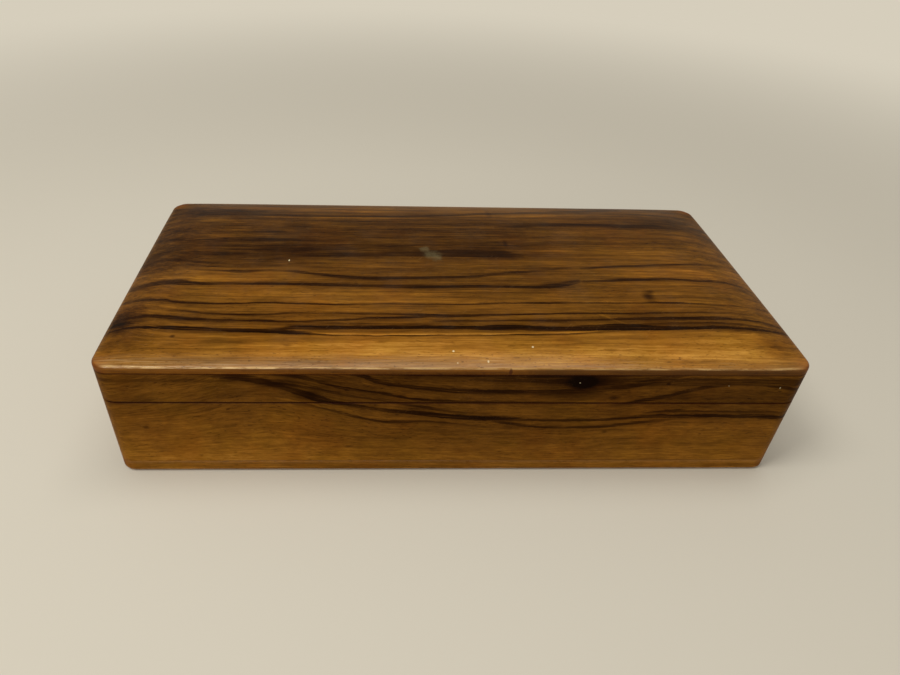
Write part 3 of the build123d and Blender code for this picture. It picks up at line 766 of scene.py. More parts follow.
BACK_FIGURE = Figure(
    tones=(
        (0, 0.58, 0.56, 0.54), (14, 0.54, 0.56, 0.50), (26, 0.48, 0.52, 0.52), (38, 0.44, 0.46, 0.54),
        (47, 0.50, 0.40, 0.50), (56, 0.54, 0.44, 0.42),
    ),
    left=(-10, -100),
    right=(20, 100),
    veins=(
        Vein((
            (-210, 30.5, 0.5, 0.6), (-140, 31.5, 0.6, 0.9), (-110, 33.6, 0.8, 0.9), (-75, 36.5, 0.6, 0.8),
            (-40, 38.2, 0.9, 0.85), (0, 35.5, 0.6, 0.8), (45, 30.0, 0.9, 0.9), (90, 27.5, 0.5, 0.8),
            (140, 27.0, 0.6, 0.8), (210, 28.5, 0.5, 0.5),
        ), 1.2, 0.4),
        Vein((
            (-140, 43.0, 0.4, 0.5), (-100, 44.5, 0.5, 0.7), (-60, 48.0, 0.5, 0.8), (-20, 49.0, 0.6, 0.8),
            (20, 46.0, 0.5, 0.75), (60, 41.5, 0.5, 0.8), (100, 39.5, 0.4, 0.7), (140, 40.5, 0.4, 0.5),
        ), 0.5, 1.4),
        Vein((
            (-90, 20, 0.2, 0), (-50, 21.5, 0.4, 0.6), (0, 19.0, 0.4, 0.7), (60, 15.5, 0.4, 0.6), (110, 16, 0.2, 0),
        ), 0.5, 0.8),
        Vein(((10, 53.5, 0.2, 0), (50, 51.0, 0.6, 0.7), (90, 49.5, 0.5, 0.7), (140, 50.5, 0.3, 0.4)), 0.8, 0.5),
    ),
    clouds=clouds(
        (-30, 44, 60, 9, -0.10), (60, 34, 60, 9, -0.08), (-90, 12, 50, 12, 0.05),
    ),
)

PLAIN_FIGURE = Figure(
    tones=((-70, 0.76, 0.69, 0.72), (-60, 0.58, 0.54, 0.56), (25, 0.50, 0.56, 0.48), (70, 0.60, 0.58, 0.56)),
    left=(-20, -110),
    right=(20, 110),
    veins=(
        Vein(((-140, -30, 0.5, 0.5), (-60, -27, 0.6, 0.7), (20, -31, 0.5, 0.6), (140, -28, 0.5, 0.5)), 1.5, 0.6),
        Vein(((-140, 22, 0.5, 0.4), (-40, 25, 0.6, 0.6), (60, 20, 0.6, 0.6), (140, 24, 0.5, 0.5)), 0.6, 1.8),
    ),
)


# ---- Finishes ----


class Lay(Enum):
    """Which way a board lies: what runs along it, across its face and through it."""

    FLAT = "flat"
    FRONT = "front"
    BACK = "back"
    LEFT = "left"
    RIGHT = "right"


class Finish:
    """A material being made: it starts a Principled BSDF and keeps the wires to feed it."""

    def __init__(self, name: str) -> None:
        """Start the material.

        Args:
            name: The material's name.
        """
        self.material = bpy.data.materials.new(name)
        self.material.use_nodes = True
        self.graph = Graph(self.material.node_tree)
        self.shader = self.material.node_tree.nodes["Principled BSDF"]
        coordinates = self.graph.put("ShaderNodeTexCoord")
        self.place = self.graph.scaled(self.graph.wire(coordinates, "Object"), 1.0 / MM)
        self.facing = self.graph.wire(coordinates, "Normal")
        self.colour: Wire | None = None

    def use(self, group: NodeTree, output: str, **values: object) -> Wire:
        """Place a shared group and give one of its outputs; a name's underscores stand for spaces."""
        named = {key.replace("_", " ").capitalize(): value for key, value in values.items()}
        return self.graph.wire(self.graph.group(group, named), output)

    def patches(self, level: Wire, spots: Sequence[Spot]) -> Wire:
        """Give the strongest of several soft patches.

        Args:
            level: The place along and across the board.
            spots: The patches, each as its place and its reach.

        Returns:
            Their mask.
        """
        masks = [
            self.use(EFFECTS.patch, "Mask", place=level, middle=(*place, 0.0), reach=(*reach, 1.0))
            for place, reach in spots
        ]
        return functools.reduce(Wire.most, masks)

    def wear(self, middle: Triple, half: Triple, reach: float) -> tuple[Wire, ...]:
        """Rub the edges of a block.

        Args:
            middle: The block's middle, in millimetres.
            half: Its half size.
            reach: How far the rubbing reaches from its edges.

        Returns:
            The masks of its edges, its corners and the broken wear.
        """
        values = {"Place": self.place, "Middle": middle, "Half size": half, "Reach": reach}
        node = self.graph.group(EFFECTS.wear, values)
        return tuple(self.graph.wire(node, output) for output in ("Edge", "Corner", "Worn"))

    def dust(self, output: str) -> Wire:
        """Give the dust's film or its specks."""
        return self.use(EFFECTS.dust, output, place=self.place, facing=self.facing)

    def tint(self, share: Wire | float, colour: Colour, kind: str = "MIX") -> None:
        """Lay a colour over what the finish has so far."""
        self.colour = self.graph.blend(share, self.colour, colour, kind)

    def feed(self, **values: object) -> Material:
        """Feed the shader with the finish's colour and more.

        Args:
            values: What the shader's inputs take; a name's underscores stand for spaces.

        Returns:
            The material.
        """
        for key, value in {"Base_Color": self.colour, **values}.items():
            socket = self.shader.inputs[key.replace("_", " ")]
            if isinstance(value, Wire):
                self.graph.tree.links.new(value.socket, socket)
            else:
                socket.default_value = value
        return self.material


WOOD_STOPS = (
    (0.00, paint(17, 6, 1)),
    (0.16, paint(41, 19, 2)),
    (0.32, paint(67, 39, 8)),
    (0.48, paint(94, 58, 15)),
    (0.62, paint(118, 75, 21)),
    (0.78, paint(148, 97, 30)),
    (1.00, paint(191, 135, 56)),
)


@dataclass(frozen=True)
class WoodFinish:
    """Figured olive wood under an old hand-rubbed polish.

    Attributes:
        name: The material's name.
        figure: The board's drawn figure.
        lay: Which way the board lies.
        middle: Middle of the block whose edges are worn, in millimetres.
        half: Half size of that block.
        gloss: Roughness of the polish.
        redness: How red the rubbed edges are.
        joints: Where the joints darken, as (level, reach, strength), in millimetres: old dirt in the joints, and
            painted shade in the seam gap.
        rubbed_shine: Where across the board the hand-rubbed shine starts and is whole.
        lively: How strongly the fibre shows.
        depth: How dark the veins are between their strands and in them.
        weights: How strongly streaks, fibre, fine grain and mottling show.
        fleck_and_glint_strength: How strongly the flecks and painted highlights show.
        flecks_and_glints: Pale flecks, and painted highlights such as the glint on the front's knot, each as its
            place and its reach, along and across.
        fray: How far the fine grain frays the veins, in millimetres.
    """

    name: str
    figure: Figure
    lay: Lay
    middle: Triple
    half: Triple
    gloss: float = 0.36
    redness: float = 0.22
    joints: tuple[Triple, ...] = ()
    rubbed_shine: tuple[float, float] = (900.0, 1000.0)
    lively: float = 0.74
    depth: tuple[float, float] = (0.38, 0.84)
    weights: tuple[float, float, float, float] = (0.48, 0.62, 0.36, 0.34)
    fleck_and_glint_strength: float = 0.55
    flecks_and_glints: tuple[Spot, ...] = ()
    fray: float = 0.7

    def _board_place(self, finish: Finish) -> tuple[Wire, Wire, Wire]:
        """Find the place in the board; the front's figure runs on round the corners.

        Args:
            finish: The finish being made.

        Returns:
            The place along, across and through the board.
        """
        x, y, z = finish.graph.parts(finish.place)
        round_corner = BOX.half_width + BOX.half_length
        if self.lay is Lay.FLAT:
            return x, y, z
        if self.lay is Lay.FRONT:
            return x, z, y
        if self.lay is Lay.RIGHT:
            return y + round_corner, z, x
        if self.lay is Lay.LEFT:
            return 0.0 - y - round_corner, z, x
        return 0.0 - x, z, y

    def _flow(self, graph: Graph, along: Wire) -> Wire:
        """Find how far the fibre is shifted across the board.

        Args:
            graph: The material's graph.
            along: The place along the board.

        Returns:
            The shift, in millimetres.
        """
        first, last = self.figure.flow[0][0], self.figure.flow[-1][0]
        track = [((place - first) / (last - first), shift / 100.0) for place, shift in self.figure.flow]
        return graph.part(graph.curves((along - first) / (last - first), (track,)), 0) * 100.0

    def _tone(self, graph: Graph, along: Wire, across: Wire) -> Wire:
        """Give the tone of the board from its profile across the grain.

        Args:
            graph: The material's graph.
            along: The place along the board.
            across: The place across it.

        Returns:
            The tone.
        """
        figure = self.figure
        low, high = figure.tones[0][0], figure.tones[-1][0]
        tracks = [
            [((row[0] - low) / (high - low), row[column]) for row in figure.tones] for column in (1, 2, 3)
        ]
        left, middle, right = graph.parts(graph.curves((across - low) / (high - low), tracks))
        sided = graph.mix(graph.ease(along, *figure.left), middle, left)
        return graph.mix(graph.ease(along, *figure.right), sided, right)

    def _lines(self, finish: Finish, lines: Sequence[Vein], along: Wire, across: Wire) -> Wire | None:
        """Draw lines of the figure; each joins the mask at once, so that few values are held together.

        Args:
            finish: The finish being made.
            lines: The lines.
            along: The place along the board.
            across: The place across it.

        Returns:
            The strongest mask of them all, or None where there are no lines.
        """
        graph, scales = finish.graph, (100.0, 10.0, 1.0)
        strongest: Wire | None = None
        for vein in lines:
            first, last = vein.course[0][0], vein.course[-1][0]
            tracks = [
                [((point[0] - first) / (last - first), point[column] / scale) for point in vein.course]
                for column, scale in enumerate(scales, 1)
            ]
            drawn = graph.vector("MULTIPLY", graph.curves((along - first) / (last - first), tracks), scales)
            feathers = {"upper_feather": vein.upper, "lower_feather": vein.lower}
            mask = finish.use(EFFECTS.vein, "Mask", across=across, line=drawn, **feathers)
            strongest = mask if strongest is None else strongest.most(mask)
        return strongest

    def _figured(self, finish: Finish) -> tuple[Wire, ...]:
        """Grow the fibre along the board and colour the wood by its figure.

        Args:
            finish: The finish being made.

        Returns:
            The place along and across the board, its fine grain and its relief.
        """
        graph, figure = finish.graph, self.figure
        along, across, depth = self._board_place(finish)
        slow = graph.noise(graph.joined(along * 0.018, across * 0.10, depth * 0.10), 1.0, 2.0) - 0.5
        quick = graph.noise(graph.joined(along * 0.11, across * 0.30, depth * 0.30), 1.0, 2.0) - 0.5
        wandered = across + slow * 1.6 + quick * 0.9
        shift = self._flow(graph, along) * graph.ease(across, *figure.flow_band)
        flowed = wandered - shift
        node = graph.group(EFFECTS.fibre, {"Place": graph.joined(along, flowed, depth), "Stretch": 30.0})
        fibre, streak, fine, mottle, pores, height = (graph.wire(node, output) for output in range(6))

        tone = self._tone(graph, along, wandered)
        lively: Wire | float = 0.0
        for part, weight in zip((streak, fibre, fine, mottle), self.weights):
            lively = (part - 0.5) * (weight * self.lively) + lively
        tone = tone + lively - pores * 0.16
        flat = graph.joined(along, wandered, 0.0)
        shade: Wire | float = 0.0
        for cloud in figure.clouds:
            shade = finish.patches(flat, ((cloud.middle, cloud.reach),)) * cloud.tone + shade
        tone = tone + shade
        ragged = across + quick * 0.7 + (fibre - 0.5) * 1.1 + (fine - 0.5) * self.fray
        wavering = along + (fine - 0.5) * 1.5
        if figure.veins:
            veins = self._lines(finish, figure.veins, wavering, ragged)
            strands = graph.noise(graph.joined(along * 0.045, flowed * 1.7, depth * 1.7), 1.0, 3.0, 0.6)
            tone = tone * (1.0 - veins * graph.ease(strands, 0.34, 0.58, *self.depth))
        if figure.pale:
            tone = tone + self._lines(finish, figure.pale, wavering, ragged) * 0.25
        finish.colour = graph.ramp(tone, WOOD_STOPS)
        olive = graph.ease(graph.noise(flat, 0.045, 3.0, 0.6), 0.42, 0.68)
        red = graph.ease(graph.noise(graph.vector("ADD", flat, (90.0, 40.0, 7.0)), 0.05, 3.0, 0.6), 0.45, 0.7)
        finish.tint(olive * 0.7, (0.94, 0.98, 0.80, 1.0), "MULTIPLY")
        finish.tint(red * 0.7, (1.0, 0.90, 0.80, 1.0), "MULTIPLY")
        return along, across, fine, height

    def _darken_joints(self, finish: Finish) -> None:
        """Darken the joints on what stands upright: old dirt in the joints, and painted shade in the seam gap between
        lid and base.

        Args:
            finish: The finish being made.
        """
        graph = finish.graph
        upright = graph.ease(abs(graph.part(finish.facing, 2)), 0.5, 0.85, 1.0, 0.12)
        outside = [abs(graph.part(finish.place, axis)) - self.half[axis] for axis in (0, 1)]
        upright = upright.most(graph.ease(outside[0].most(outside[1]), -1.8, -0.8))
        for level, reach, strength in self.joints:
            dirt_and_shade = finish.use(EFFECTS.dirt_and_shade, "Mask", place=finish.place, level=level, reach=reach)
            # Dark band along a joint: old dirt, and painted shade where it is the seam gap between lid and base.
            finish.tint(dirt_and_shade * upright * strength, paint(50, 17, 9))

    def _shine(self, finish: Finish, across: Wire) -> Wire:
        """Give the polish's shine across the board: brightest where hands have rubbed it."""
        up = finish.graph.ease(finish.graph.part(finish.facing, 2), 0.05, 0.45)
        return finish.graph.ease(across, *self.rubbed_shine, 0.016, 0.17) * (up * 0.9 + 0.1).most(0.1)

    def build(self) -> Finish:
        """Make the material.

        Returns:
            The finish, still open to additions.
        """
        finish = Finish(self.name)
        graph = finish.graph
        along, across, fine, height = self._figured(finish)
        edge, corner, worn = finish.wear(self.middle, self.half, 3.2)
        finish.tint(corner * self.redness, paint(140, 68, 28))
        finish.tint(worn * 0.16, paint(176, 128, 72))
        self._darken_joints(finish)
        polish = graph.group(EFFECTS.polish, {"Place": finish.place})
        smear, scratch = graph.wire(polish, "Smear"), graph.wire(polish, "Scratch")
        finish.tint(scratch * 0.10, paint(150, 112, 70))
        finish.tint(finish.dust("Film") * 0.010, paint(196, 188, 170))
        if self.flecks_and_glints:
            flecks_and_glints = finish.patches(graph.joined(along, across, 0.0), self.flecks_and_glints)
            # Pale flecks; on the front wall one of them is a painted highlight on the knot.
            finish.tint(graph.ease(flecks_and_glints, 0.1, 0.7) * self.fleck_and_glint_strength, paint(222, 206, 160))
        rough = (smear - 0.5) * 0.24 + (fine - 0.5) * 0.22 + scratch * 0.14 + worn * 0.10 + self.gloss
        rough = rough - edge * 0.05
        surface = height * 0.45 + graph.wire(polish, "Ripple") * 4.0 - scratch * 0.25
        finish.feed(
            Roughness=rough.held(),
            Normal=graph.bump(surface, 0.00006),
            Coat_Weight=((smear - 0.5) * 0.08 + edge * 0.20 - worn * 0.04 + self._shine(finish, across)).held(),
            Coat_Roughness=0.16,
            Specular_IOR_Level=0.012,
        )
        return finish


@dataclass(frozen=True)
class SilkFinish:
    """Faded silk satin.

    Attributes:
        name: The material's name.
        colour: Its colour where it has kept it.
        faded: Its colour where it has faded.
        pitch: Distance between threads, in millimetres.
    """

    name: str
    colour: Colour = paint(176, 136, 74)
    faded: Colour = paint(204, 176, 124)
    pitch: float = 0.28

    def build(self) -> Material:
        """Make the material.

        Returns:
            The material.
        """
        finish = Finish(self.name)
        graph = finish.graph
        weave = graph.group(EFFECTS.weave, {"Place": finish.place, "Pitch": self.pitch})
        thread, slub = graph.wire(weave, "Thread"), graph.wire(weave, "Slub")
        age = graph.noise(finish.place, 0.02, 4.0, 0.6)
        finish.colour = graph.blend(graph.ease(age + slub * 0.25, 0.45, 0.85), self.colour, self.faded)
        finish.tint(thread * 0.28, paint(120, 86, 42), "MULTIPLY")
        finish.tint(graph.ease(slub, 0.62, 0.80) * 0.30, paint(226, 204, 158))
        foxing = graph.ease(graph.noise(finish.place, 0.11, 3.0, 0.6), 0.66, 0.76)
        finish.tint(foxing * 0.22, paint(118, 84, 48))
        finish.tint(finish.dust("Speck") * 0.5, paint(214, 208, 196))
        return finish.feed(
            Roughness=(slub * 0.22 + 0.34).held(),
            Normal=graph.bump(graph.wire(weave, "Height"), 0.00005, 0.7),
            Sheen_Weight=0.35,
            Sheen_Roughness=0.4,
            Specular_IOR_Level=0.5,
            Anisotropic=0.35,
        )


@dataclass(frozen=True)
class CardFinish:
    """Old grey-brown pasteboard behind the lining.

    Attributes:
        name: The material's name.
    """

    name: str = "pasteboard"

    def build(self) -> Material:
        """Make the material.

        Returns:
            The material.
        """
        finish = Finish(self.name)
        graph = finish.graph
        fibres = graph.noise(finish.place, 1.6, 5.0, 0.7)
        stain = graph.noise(finish.place, 0.03, 3.0, 0.6)
        stops = ((0.3, paint(126, 110, 86)), (0.7, paint(166, 150, 122)))
        finish.colour = graph.ramp(fibres * 0.5 + stain * 0.5, stops)
        rough = (fibres * 0.2 + 0.75).held()
        return finish.feed(Roughness=rough, Normal=graph.bump(fibres, 0.00008), Specular_IOR_Level=0.2)


@dataclass(frozen=True)
class BrassFinish:
    """Cast or drawn brass with an old brown patina, bright where it rubs.

    Attributes:
        name: The material's name.
        tarnish: How far the patina covers it, from 0 to 1.
        middle: Middle of the block whose edges are bright, in millimetres.
        half: Half size of that block.
        drawn: Whether fine lathe or drawing lines run along X.
    """

    name: str
    tarnish: float
    middle: Triple = (0.0, 64.6, 39.2)
    half: Triple = (97.5, 4.3, 1.15)
    drawn: bool = False

    def build(self) -> Material:
        """Make the material.

        Returns:
            The material.
        """
        finish = Finish(self.name)
        graph = finish.graph
        patina = graph.noise(finish.place, 0.28, 4.0, 0.55)
        spots = graph.noise(finish.place, 1.3, 3.0, 0.6)
        shade = graph.ease(patina + (self.tarnish - 0.5), 0.35, 0.75)
        finish.colour = graph.blend(shade, paint(196, 154, 84), paint(112, 80, 44))
        finish.tint(graph.ease(spots, 0.62, 0.76) * 0.45, paint(72, 54, 36))
        green = graph.ease(spots * 0.5 + patina * 0.5, 0.60, 0.68) * self.tarnish
        finish.tint(green * 0.35, paint(92, 112, 84))
        worn = finish.wear(self.middle, self.half, 0.7)[2]
        finish.tint(worn * 0.7, paint(222, 184, 112))
        scratch = finish.use(EFFECTS.polish, "Scratch", place=finish.place)
        stretch = (0.15, 6.0, 6.0) if self.drawn else (1.2, 1.2, 1.2)
        lines = graph.noise(graph.vector("MULTIPLY", finish.place, stretch), 1.0, 2.0, 0.5)
        rough = shade * 0.22 + lines * 0.12 + scratch * 0.1 + 0.22
        return finish.feed(
            Metallic=(1.0 - shade * 0.35).held(),
            Roughness=rough.held(),
            Normal=graph.bump(lines + patina * 0.5, 0.00002),
        )


class TopWood:
    """The lid board's wood and its marks: a grey bloom, flecks, a chip, and a worn front edge with a painted sheen
    and highlight.
    """

    FLECKS = (
        ((-71.5, -0.5), (0.5, 1.2)),
        ((-1.8, -61.0), (0.7, 0.6)),
        ((29.6, -58.8), (0.7, 0.6)),
        ((11.4, -65.6), (0.6, 1.0)),
        ((-0.5, -66.3), (0.5, 0.4)),
    )
    BLOOM = (((-6.4, 6.2), (7.4, 6.6)), ((-4.6, 3.0), (4.8, 4.6)), ((-9.6, 11.0), (4.4, 4.4)))

    def __init__(self) -> None:
        """Make the material."""
        arris, depth = BOX.board + 2.2, 10.0
        wood = WoodFinish(
            "top_olive_wood",
            TOP_FIGURE,
            Lay.FLAT,
            middle=(0.0, 0.0, arris - depth),
            half=(BOX.half_length, BOX.half_width, depth),
            gloss=0.34,
            redness=0.36,
            joints=((BOX.board, 0.45, 0.5),),
            rubbed_shine=(-60.0, -68.0),
            lively=0.82,
            depth=(0.50, 0.94),
            weights=(0.72, 0.62, 0.36, 0.34),
            fleck_and_glint_strength=0.9,
            flecks_and_glints=self.FLECKS,
        )
        self.finish = wood.build()
        graph = self.finish.graph
        ragged = graph.noise(self.finish.place, 0.45, 3.0, 0.6)
        x, y, z = graph.parts(self.finish.place)
        square = graph.ease(z, BOX.board + 3.1, BOX.board + 2.5)
        self.finish.tint(square, (0.62, 0.52, 0.30, 1.0), "MULTIPLY")
        dark_end = square * graph.ease(x + ragged * 8.0, 24.0, 40.0) * graph.ease(y, -67.5, -68.8)
        self.finish.tint(dark_end * 0.55, paint(58, 34, 10))
        self._front_sheen_and_nicks()
        bloom = self.finish.patches(graph.joined(x, y, 0.0), self.BLOOM)
        bloom = graph.ease(bloom + (ragged - 0.5) * 1.2, 0.05, 1.45)
        self.finish.tint(bloom * (ragged * 0.55 + 0.32), paint(108, 97, 66))
        places = {"middle": (19.9, -69.0, BOX.board + 1.6), "reach": (1.1, 2.2, 2.4)}
        chip = self.finish.use(EFFECTS.patch, "Mask", place=self.finish.place, **places)
        self.finish.tint(graph.ease(chip, 0.1, 0.6) * 0.75, paint(62, 26, 10))
        self.material = self.finish.feed()

    def _front_sheen_and_nicks(self) -> None:
        """Paint a sheen and a highlight along the front arris over pale rubbed wear, and nick the wood there."""
        finish, graph = self.finish, self.finish.graph
        x, y, z = graph.parts(finish.place)
        above = graph.ease(z, BOX.board + 2.6, BOX.board + 3.1)
        streaks = graph.noise(graph.joined(x * 0.05, y * 2.4, 0.0), 1.0, 3.0, 0.6)
        broad = graph.noise(graph.joined(x * 0.05, y * 0.4, 3.0), 1.0, 3.0, 0.6)
        # The painted sheen and highlight grow towards the left, where the lamp falls.
        lit_towards_left = graph.ease(x, 90.0, -40.0, 0.35, 1.0)
        near = graph.ease(y + (broad - 0.5) * 5.0, -61.0, -67.5) * above
        # Painted sheen: a pale, streaky band on the slope just above the front arris.
        painted_sheen = near * lit_towards_left * graph.ease(streaks, 0.34, 0.62, 0.15, 1.0)
        finish.tint(painted_sheen * 0.40, paint(166, 130, 82))
        # Paler rubbed wear on the arris, painted brighter towards the left as a highlight.
        rubbed_shine = near * graph.ease(streaks * 0.6 + broad * 0.4, 0.54, 0.66) * lit_towards_left
        finish.tint(rubbed_shine * 0.40, paint(206, 172, 120))
        # Painted highlight: a thin, broken pale line on the arris itself.
        line = graph.ease(z, BOX.board + 2.45, BOX.board + 2.70)
        line = line * graph.ease(z, BOX.board + 3.15, BOX.board + 2.95)
        broken = graph.noise(graph.joined(x * 0.09, y * 0.6, z * 0.9), 1.0, 4.0, 0.7)
        broken = graph.ease(broken, 0.40, 0.60, 0.12, 1.0)
        line = line * graph.ease(y, -60.0, -66.0) * graph.ease(x, 40.0, -90.0, 0.42, 0.85)
        line = line * graph.ease(abs(x), 137.0, 130.0)
        finish.tint(line * broken, paint(216, 178, 116))
        specks = graph.noise(graph.joined(x * 0.42, y * 1.5, 9.0), 1.0, 2.0, 0.5)
        nicks = graph.ease(specks, 0.62, 0.69) * graph.ease(y, -58.5, -63.0) * above
        finish.tint(nicks * 0.65, paint(84, 50, 20))


class Finishes:
    """Every material of the box, made once."""

    # Pale flecks on the front wall; the first, on the dark knot, is a painted highlight.
    FRONT_FLECKS_AND_KNOT_GLINT = (((47.8, 50.0), (0.45, 0.4)), ((128.6, 47.6), (0.35, 0.8)), ((107.5, 48.6), (0.3, 0.3)))

    def __init__(self) -> None:
        """Make them all."""
        sides = (Lay.FRONT, Lay.LEFT, Lay.RIGHT, Lay.BACK)
        self.walls = {lay: self._wall_wood(lay) for lay in sides}
        self.top = TopWood().material
        low = {"middle": (0.0, 0.0, 3.0), "half": (BOX.half_length, BOX.half_width, 3.0), "gloss": 0.5}
        bottom = WoodFinish("bottom_olive_wood", PLAIN_FIGURE, Lay.FLAT, **low)
        self.bottom = bottom.build().material
        inside = {"middle": (0.0, 0.0, 20.0), "half": (131.6, 60.6, 22.0), "gloss": 0.42}
        self.lips = {
            lay: WoodFinish(f"{lay.value}_lip_wood", PLAIN_FIGURE, lay, **inside).build().material
            for lay in (Lay.FRONT, Lay.LEFT)
        }
        self.silk = SilkFinish("old_gold_silk").build()
        self.trim = SilkFinish("silk_trim", paint(150, 108, 52), paint(184, 146, 88), 0.22).build()
        self.thread = SilkFinish("silk_thread", paint(140, 100, 52), paint(170, 132, 80), 0.12).build()
        self.card = CardFinish().build()
        self.hinge = BrassFinish("aged_hinge_brass", 0.62).build()
        self.pin = BrassFinish("aged_pin_brass", 0.45, drawn=True).build()
        self.screw = BrassFinish("aged_screw_brass", 0.55).build()

    def _wall_wood(self, lay: Lay) -> Material:
        """Make the wood of one side, darkened along the saw cut by painted shade in its gap, and by dirt in the
        joints under the board and at the foot.

        Args:
            lay: The side.

        Returns:
            The material.
        """
        wood = WoodFinish(
            f"{lay.value}_wall_wood",
            BACK_FIGURE if lay is Lay.BACK else FRONT_FIGURE,
            lay,
            middle=(0.0, 0.0, BOX.top / 2),
            half=(BOX.half_length, BOX.half_width, BOX.top / 2),
            # The saw cut's band is painted shade in the seam gap; the bands under the board and at the foot are dark
            # joints.
            joints=(((BOX.rim + BOX.lid_rim) / 2, 0.66, 0.92), (BOX.board, 0.5, 0.6), (6.0, 0.40, 0.50)),
            weights=(0.26, 0.40, 0.56, 0.50),
            flecks_and_glints=self.FRONT_FLECKS_AND_KNOT_GLINT if lay is Lay.FRONT else (),
            fray=1.8,
        )
        return wood.build().material

    def of_node(self, name: str) -> Material:
        """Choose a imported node's finish.

        Args:
            name: The node's name.

        Returns:
            Its material.
        """
        sides = {"front": Lay.FRONT, "back": Lay.BACK, "left": Lay.LEFT, "right": Lay.RIGHT}
        side = next((sides[part] for part in name.split("_") if part in sides), Lay.FRONT)
        endings = {
            "wall": self.walls[side],
            "lip": self.lips[Lay.FRONT if side in (Lay.FRONT, Lay.BACK) else Lay.LEFT],
            "leaf": self.hinge,
            "pin": self.pin,
            "screws": self.screw,
            "card": self.card,
            "board": self.top if name == "lid_board" else self.bottom,
        }
        return endings.get(name.rsplit("_", 1)[-1], self.silk)


# ---- Meshes and geometry nodes ----


def linked(name: str, mesh: Mesh) -> Object:
    """Put a mesh in the scene as an object at the origin."""
    obj = bpy.data.objects.new(name, mesh)
    bpy.context.scene.collection.objects.link(obj)
    return obj


def new_object(name: str, vertices: np.ndarray | Sequence, faces: Iterable[Sequence[int]] = ()) -> Object:
    """Make a mesh object at the origin from points in millimetres.

    Args:
        name: The object's name.
        vertices: Its points, in millimetres.
        faces: Its faces, as vertex numbers.

    Returns:
        The object, linked to the scene.
    """
    mesh = bpy.data.meshes.new(name)
    mesh.from_pydata([Vector(v) * MM for v in vertices], [], [list(f) for f in faces])
    mesh.validate()
    return linked(name, mesh)


def lines_mesh(name: str, lines: Sequence[np.ndarray]) -> Object:
    """Make an edge-only mesh of several open lines.

    Args:
        name: The object's name.
        lines: The lines' points, in millimetres.

    Returns:
        The object, linked to the scene.
    """
    mesh = bpy.data.meshes.new(name)
    vertices, edges = [], []
    for line in lines:
        start = len(vertices)
        vertices.extend(Vector(point) * MM for point in line)
        edges.extend((start + n, start + n + 1) for n in range(len(line) - 1))
    mesh.from_pydata(vertices, edges, [])
    return linked(name, mesh)


def turned_outwards(obj: Object) -> None:
    """Merge doubled points and turn every face outwards.

    Args:
        obj: The object.
    """
    mesh = bmesh.new()
    mesh.from_mesh(obj.data)
    bmesh.ops.remove_doubles(mesh, verts=mesh.verts, dist=1e-6)
    bmesh.ops.recalc_face_normals(mesh, faces=mesh.faces)
    mesh.to_mesh(obj.data)
    mesh.free()


def dress(obj: Object, material: Material) -> None:
    """Give an object one material."""
    obj.data.materials.clear()
    obj.data.materials.append(material)


@dataclass(frozen=True)
class Piece:
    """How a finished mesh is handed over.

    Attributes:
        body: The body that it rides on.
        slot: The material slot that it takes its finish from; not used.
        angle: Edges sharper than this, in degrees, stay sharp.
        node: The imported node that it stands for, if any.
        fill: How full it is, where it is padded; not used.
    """

    body: str
    slot: str
    angle: float
    node: str = ""
    fill: float = 0.0

    def hand_over(self, obj: Object, material: Material) -> None:
        """Shade and dress a mesh, and say what it is.

        Args:
            obj: The mesh's object.
            material: Its finish.
        """
        obj.data.polygons.foreach_set("use_smooth", [True] * len(obj.data.polygons))
        obj.data.set_sharp_from_angle(angle=math.radians(self.angle))
        dress(obj, material)
        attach(obj, self.body)
        if self.node:
            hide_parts(self.node)
        LOG.info("piece %s: %d faces", obj.name, len(obj.data.polygons))


def settled(obj: Object) -> Object:
    """Turn what an object's modifiers make into its plain mesh, and take them off.

    Args:
        obj: The object.

    Returns:
        The same object.
    """
    graph = bpy.context.evaluated_depsgraph_get()
    graph.update()
    mesh = bpy.data.meshes.new_from_object(obj.evaluated_get(graph))
    obj.modifiers.clear()
    obj.data = mesh
    return obj


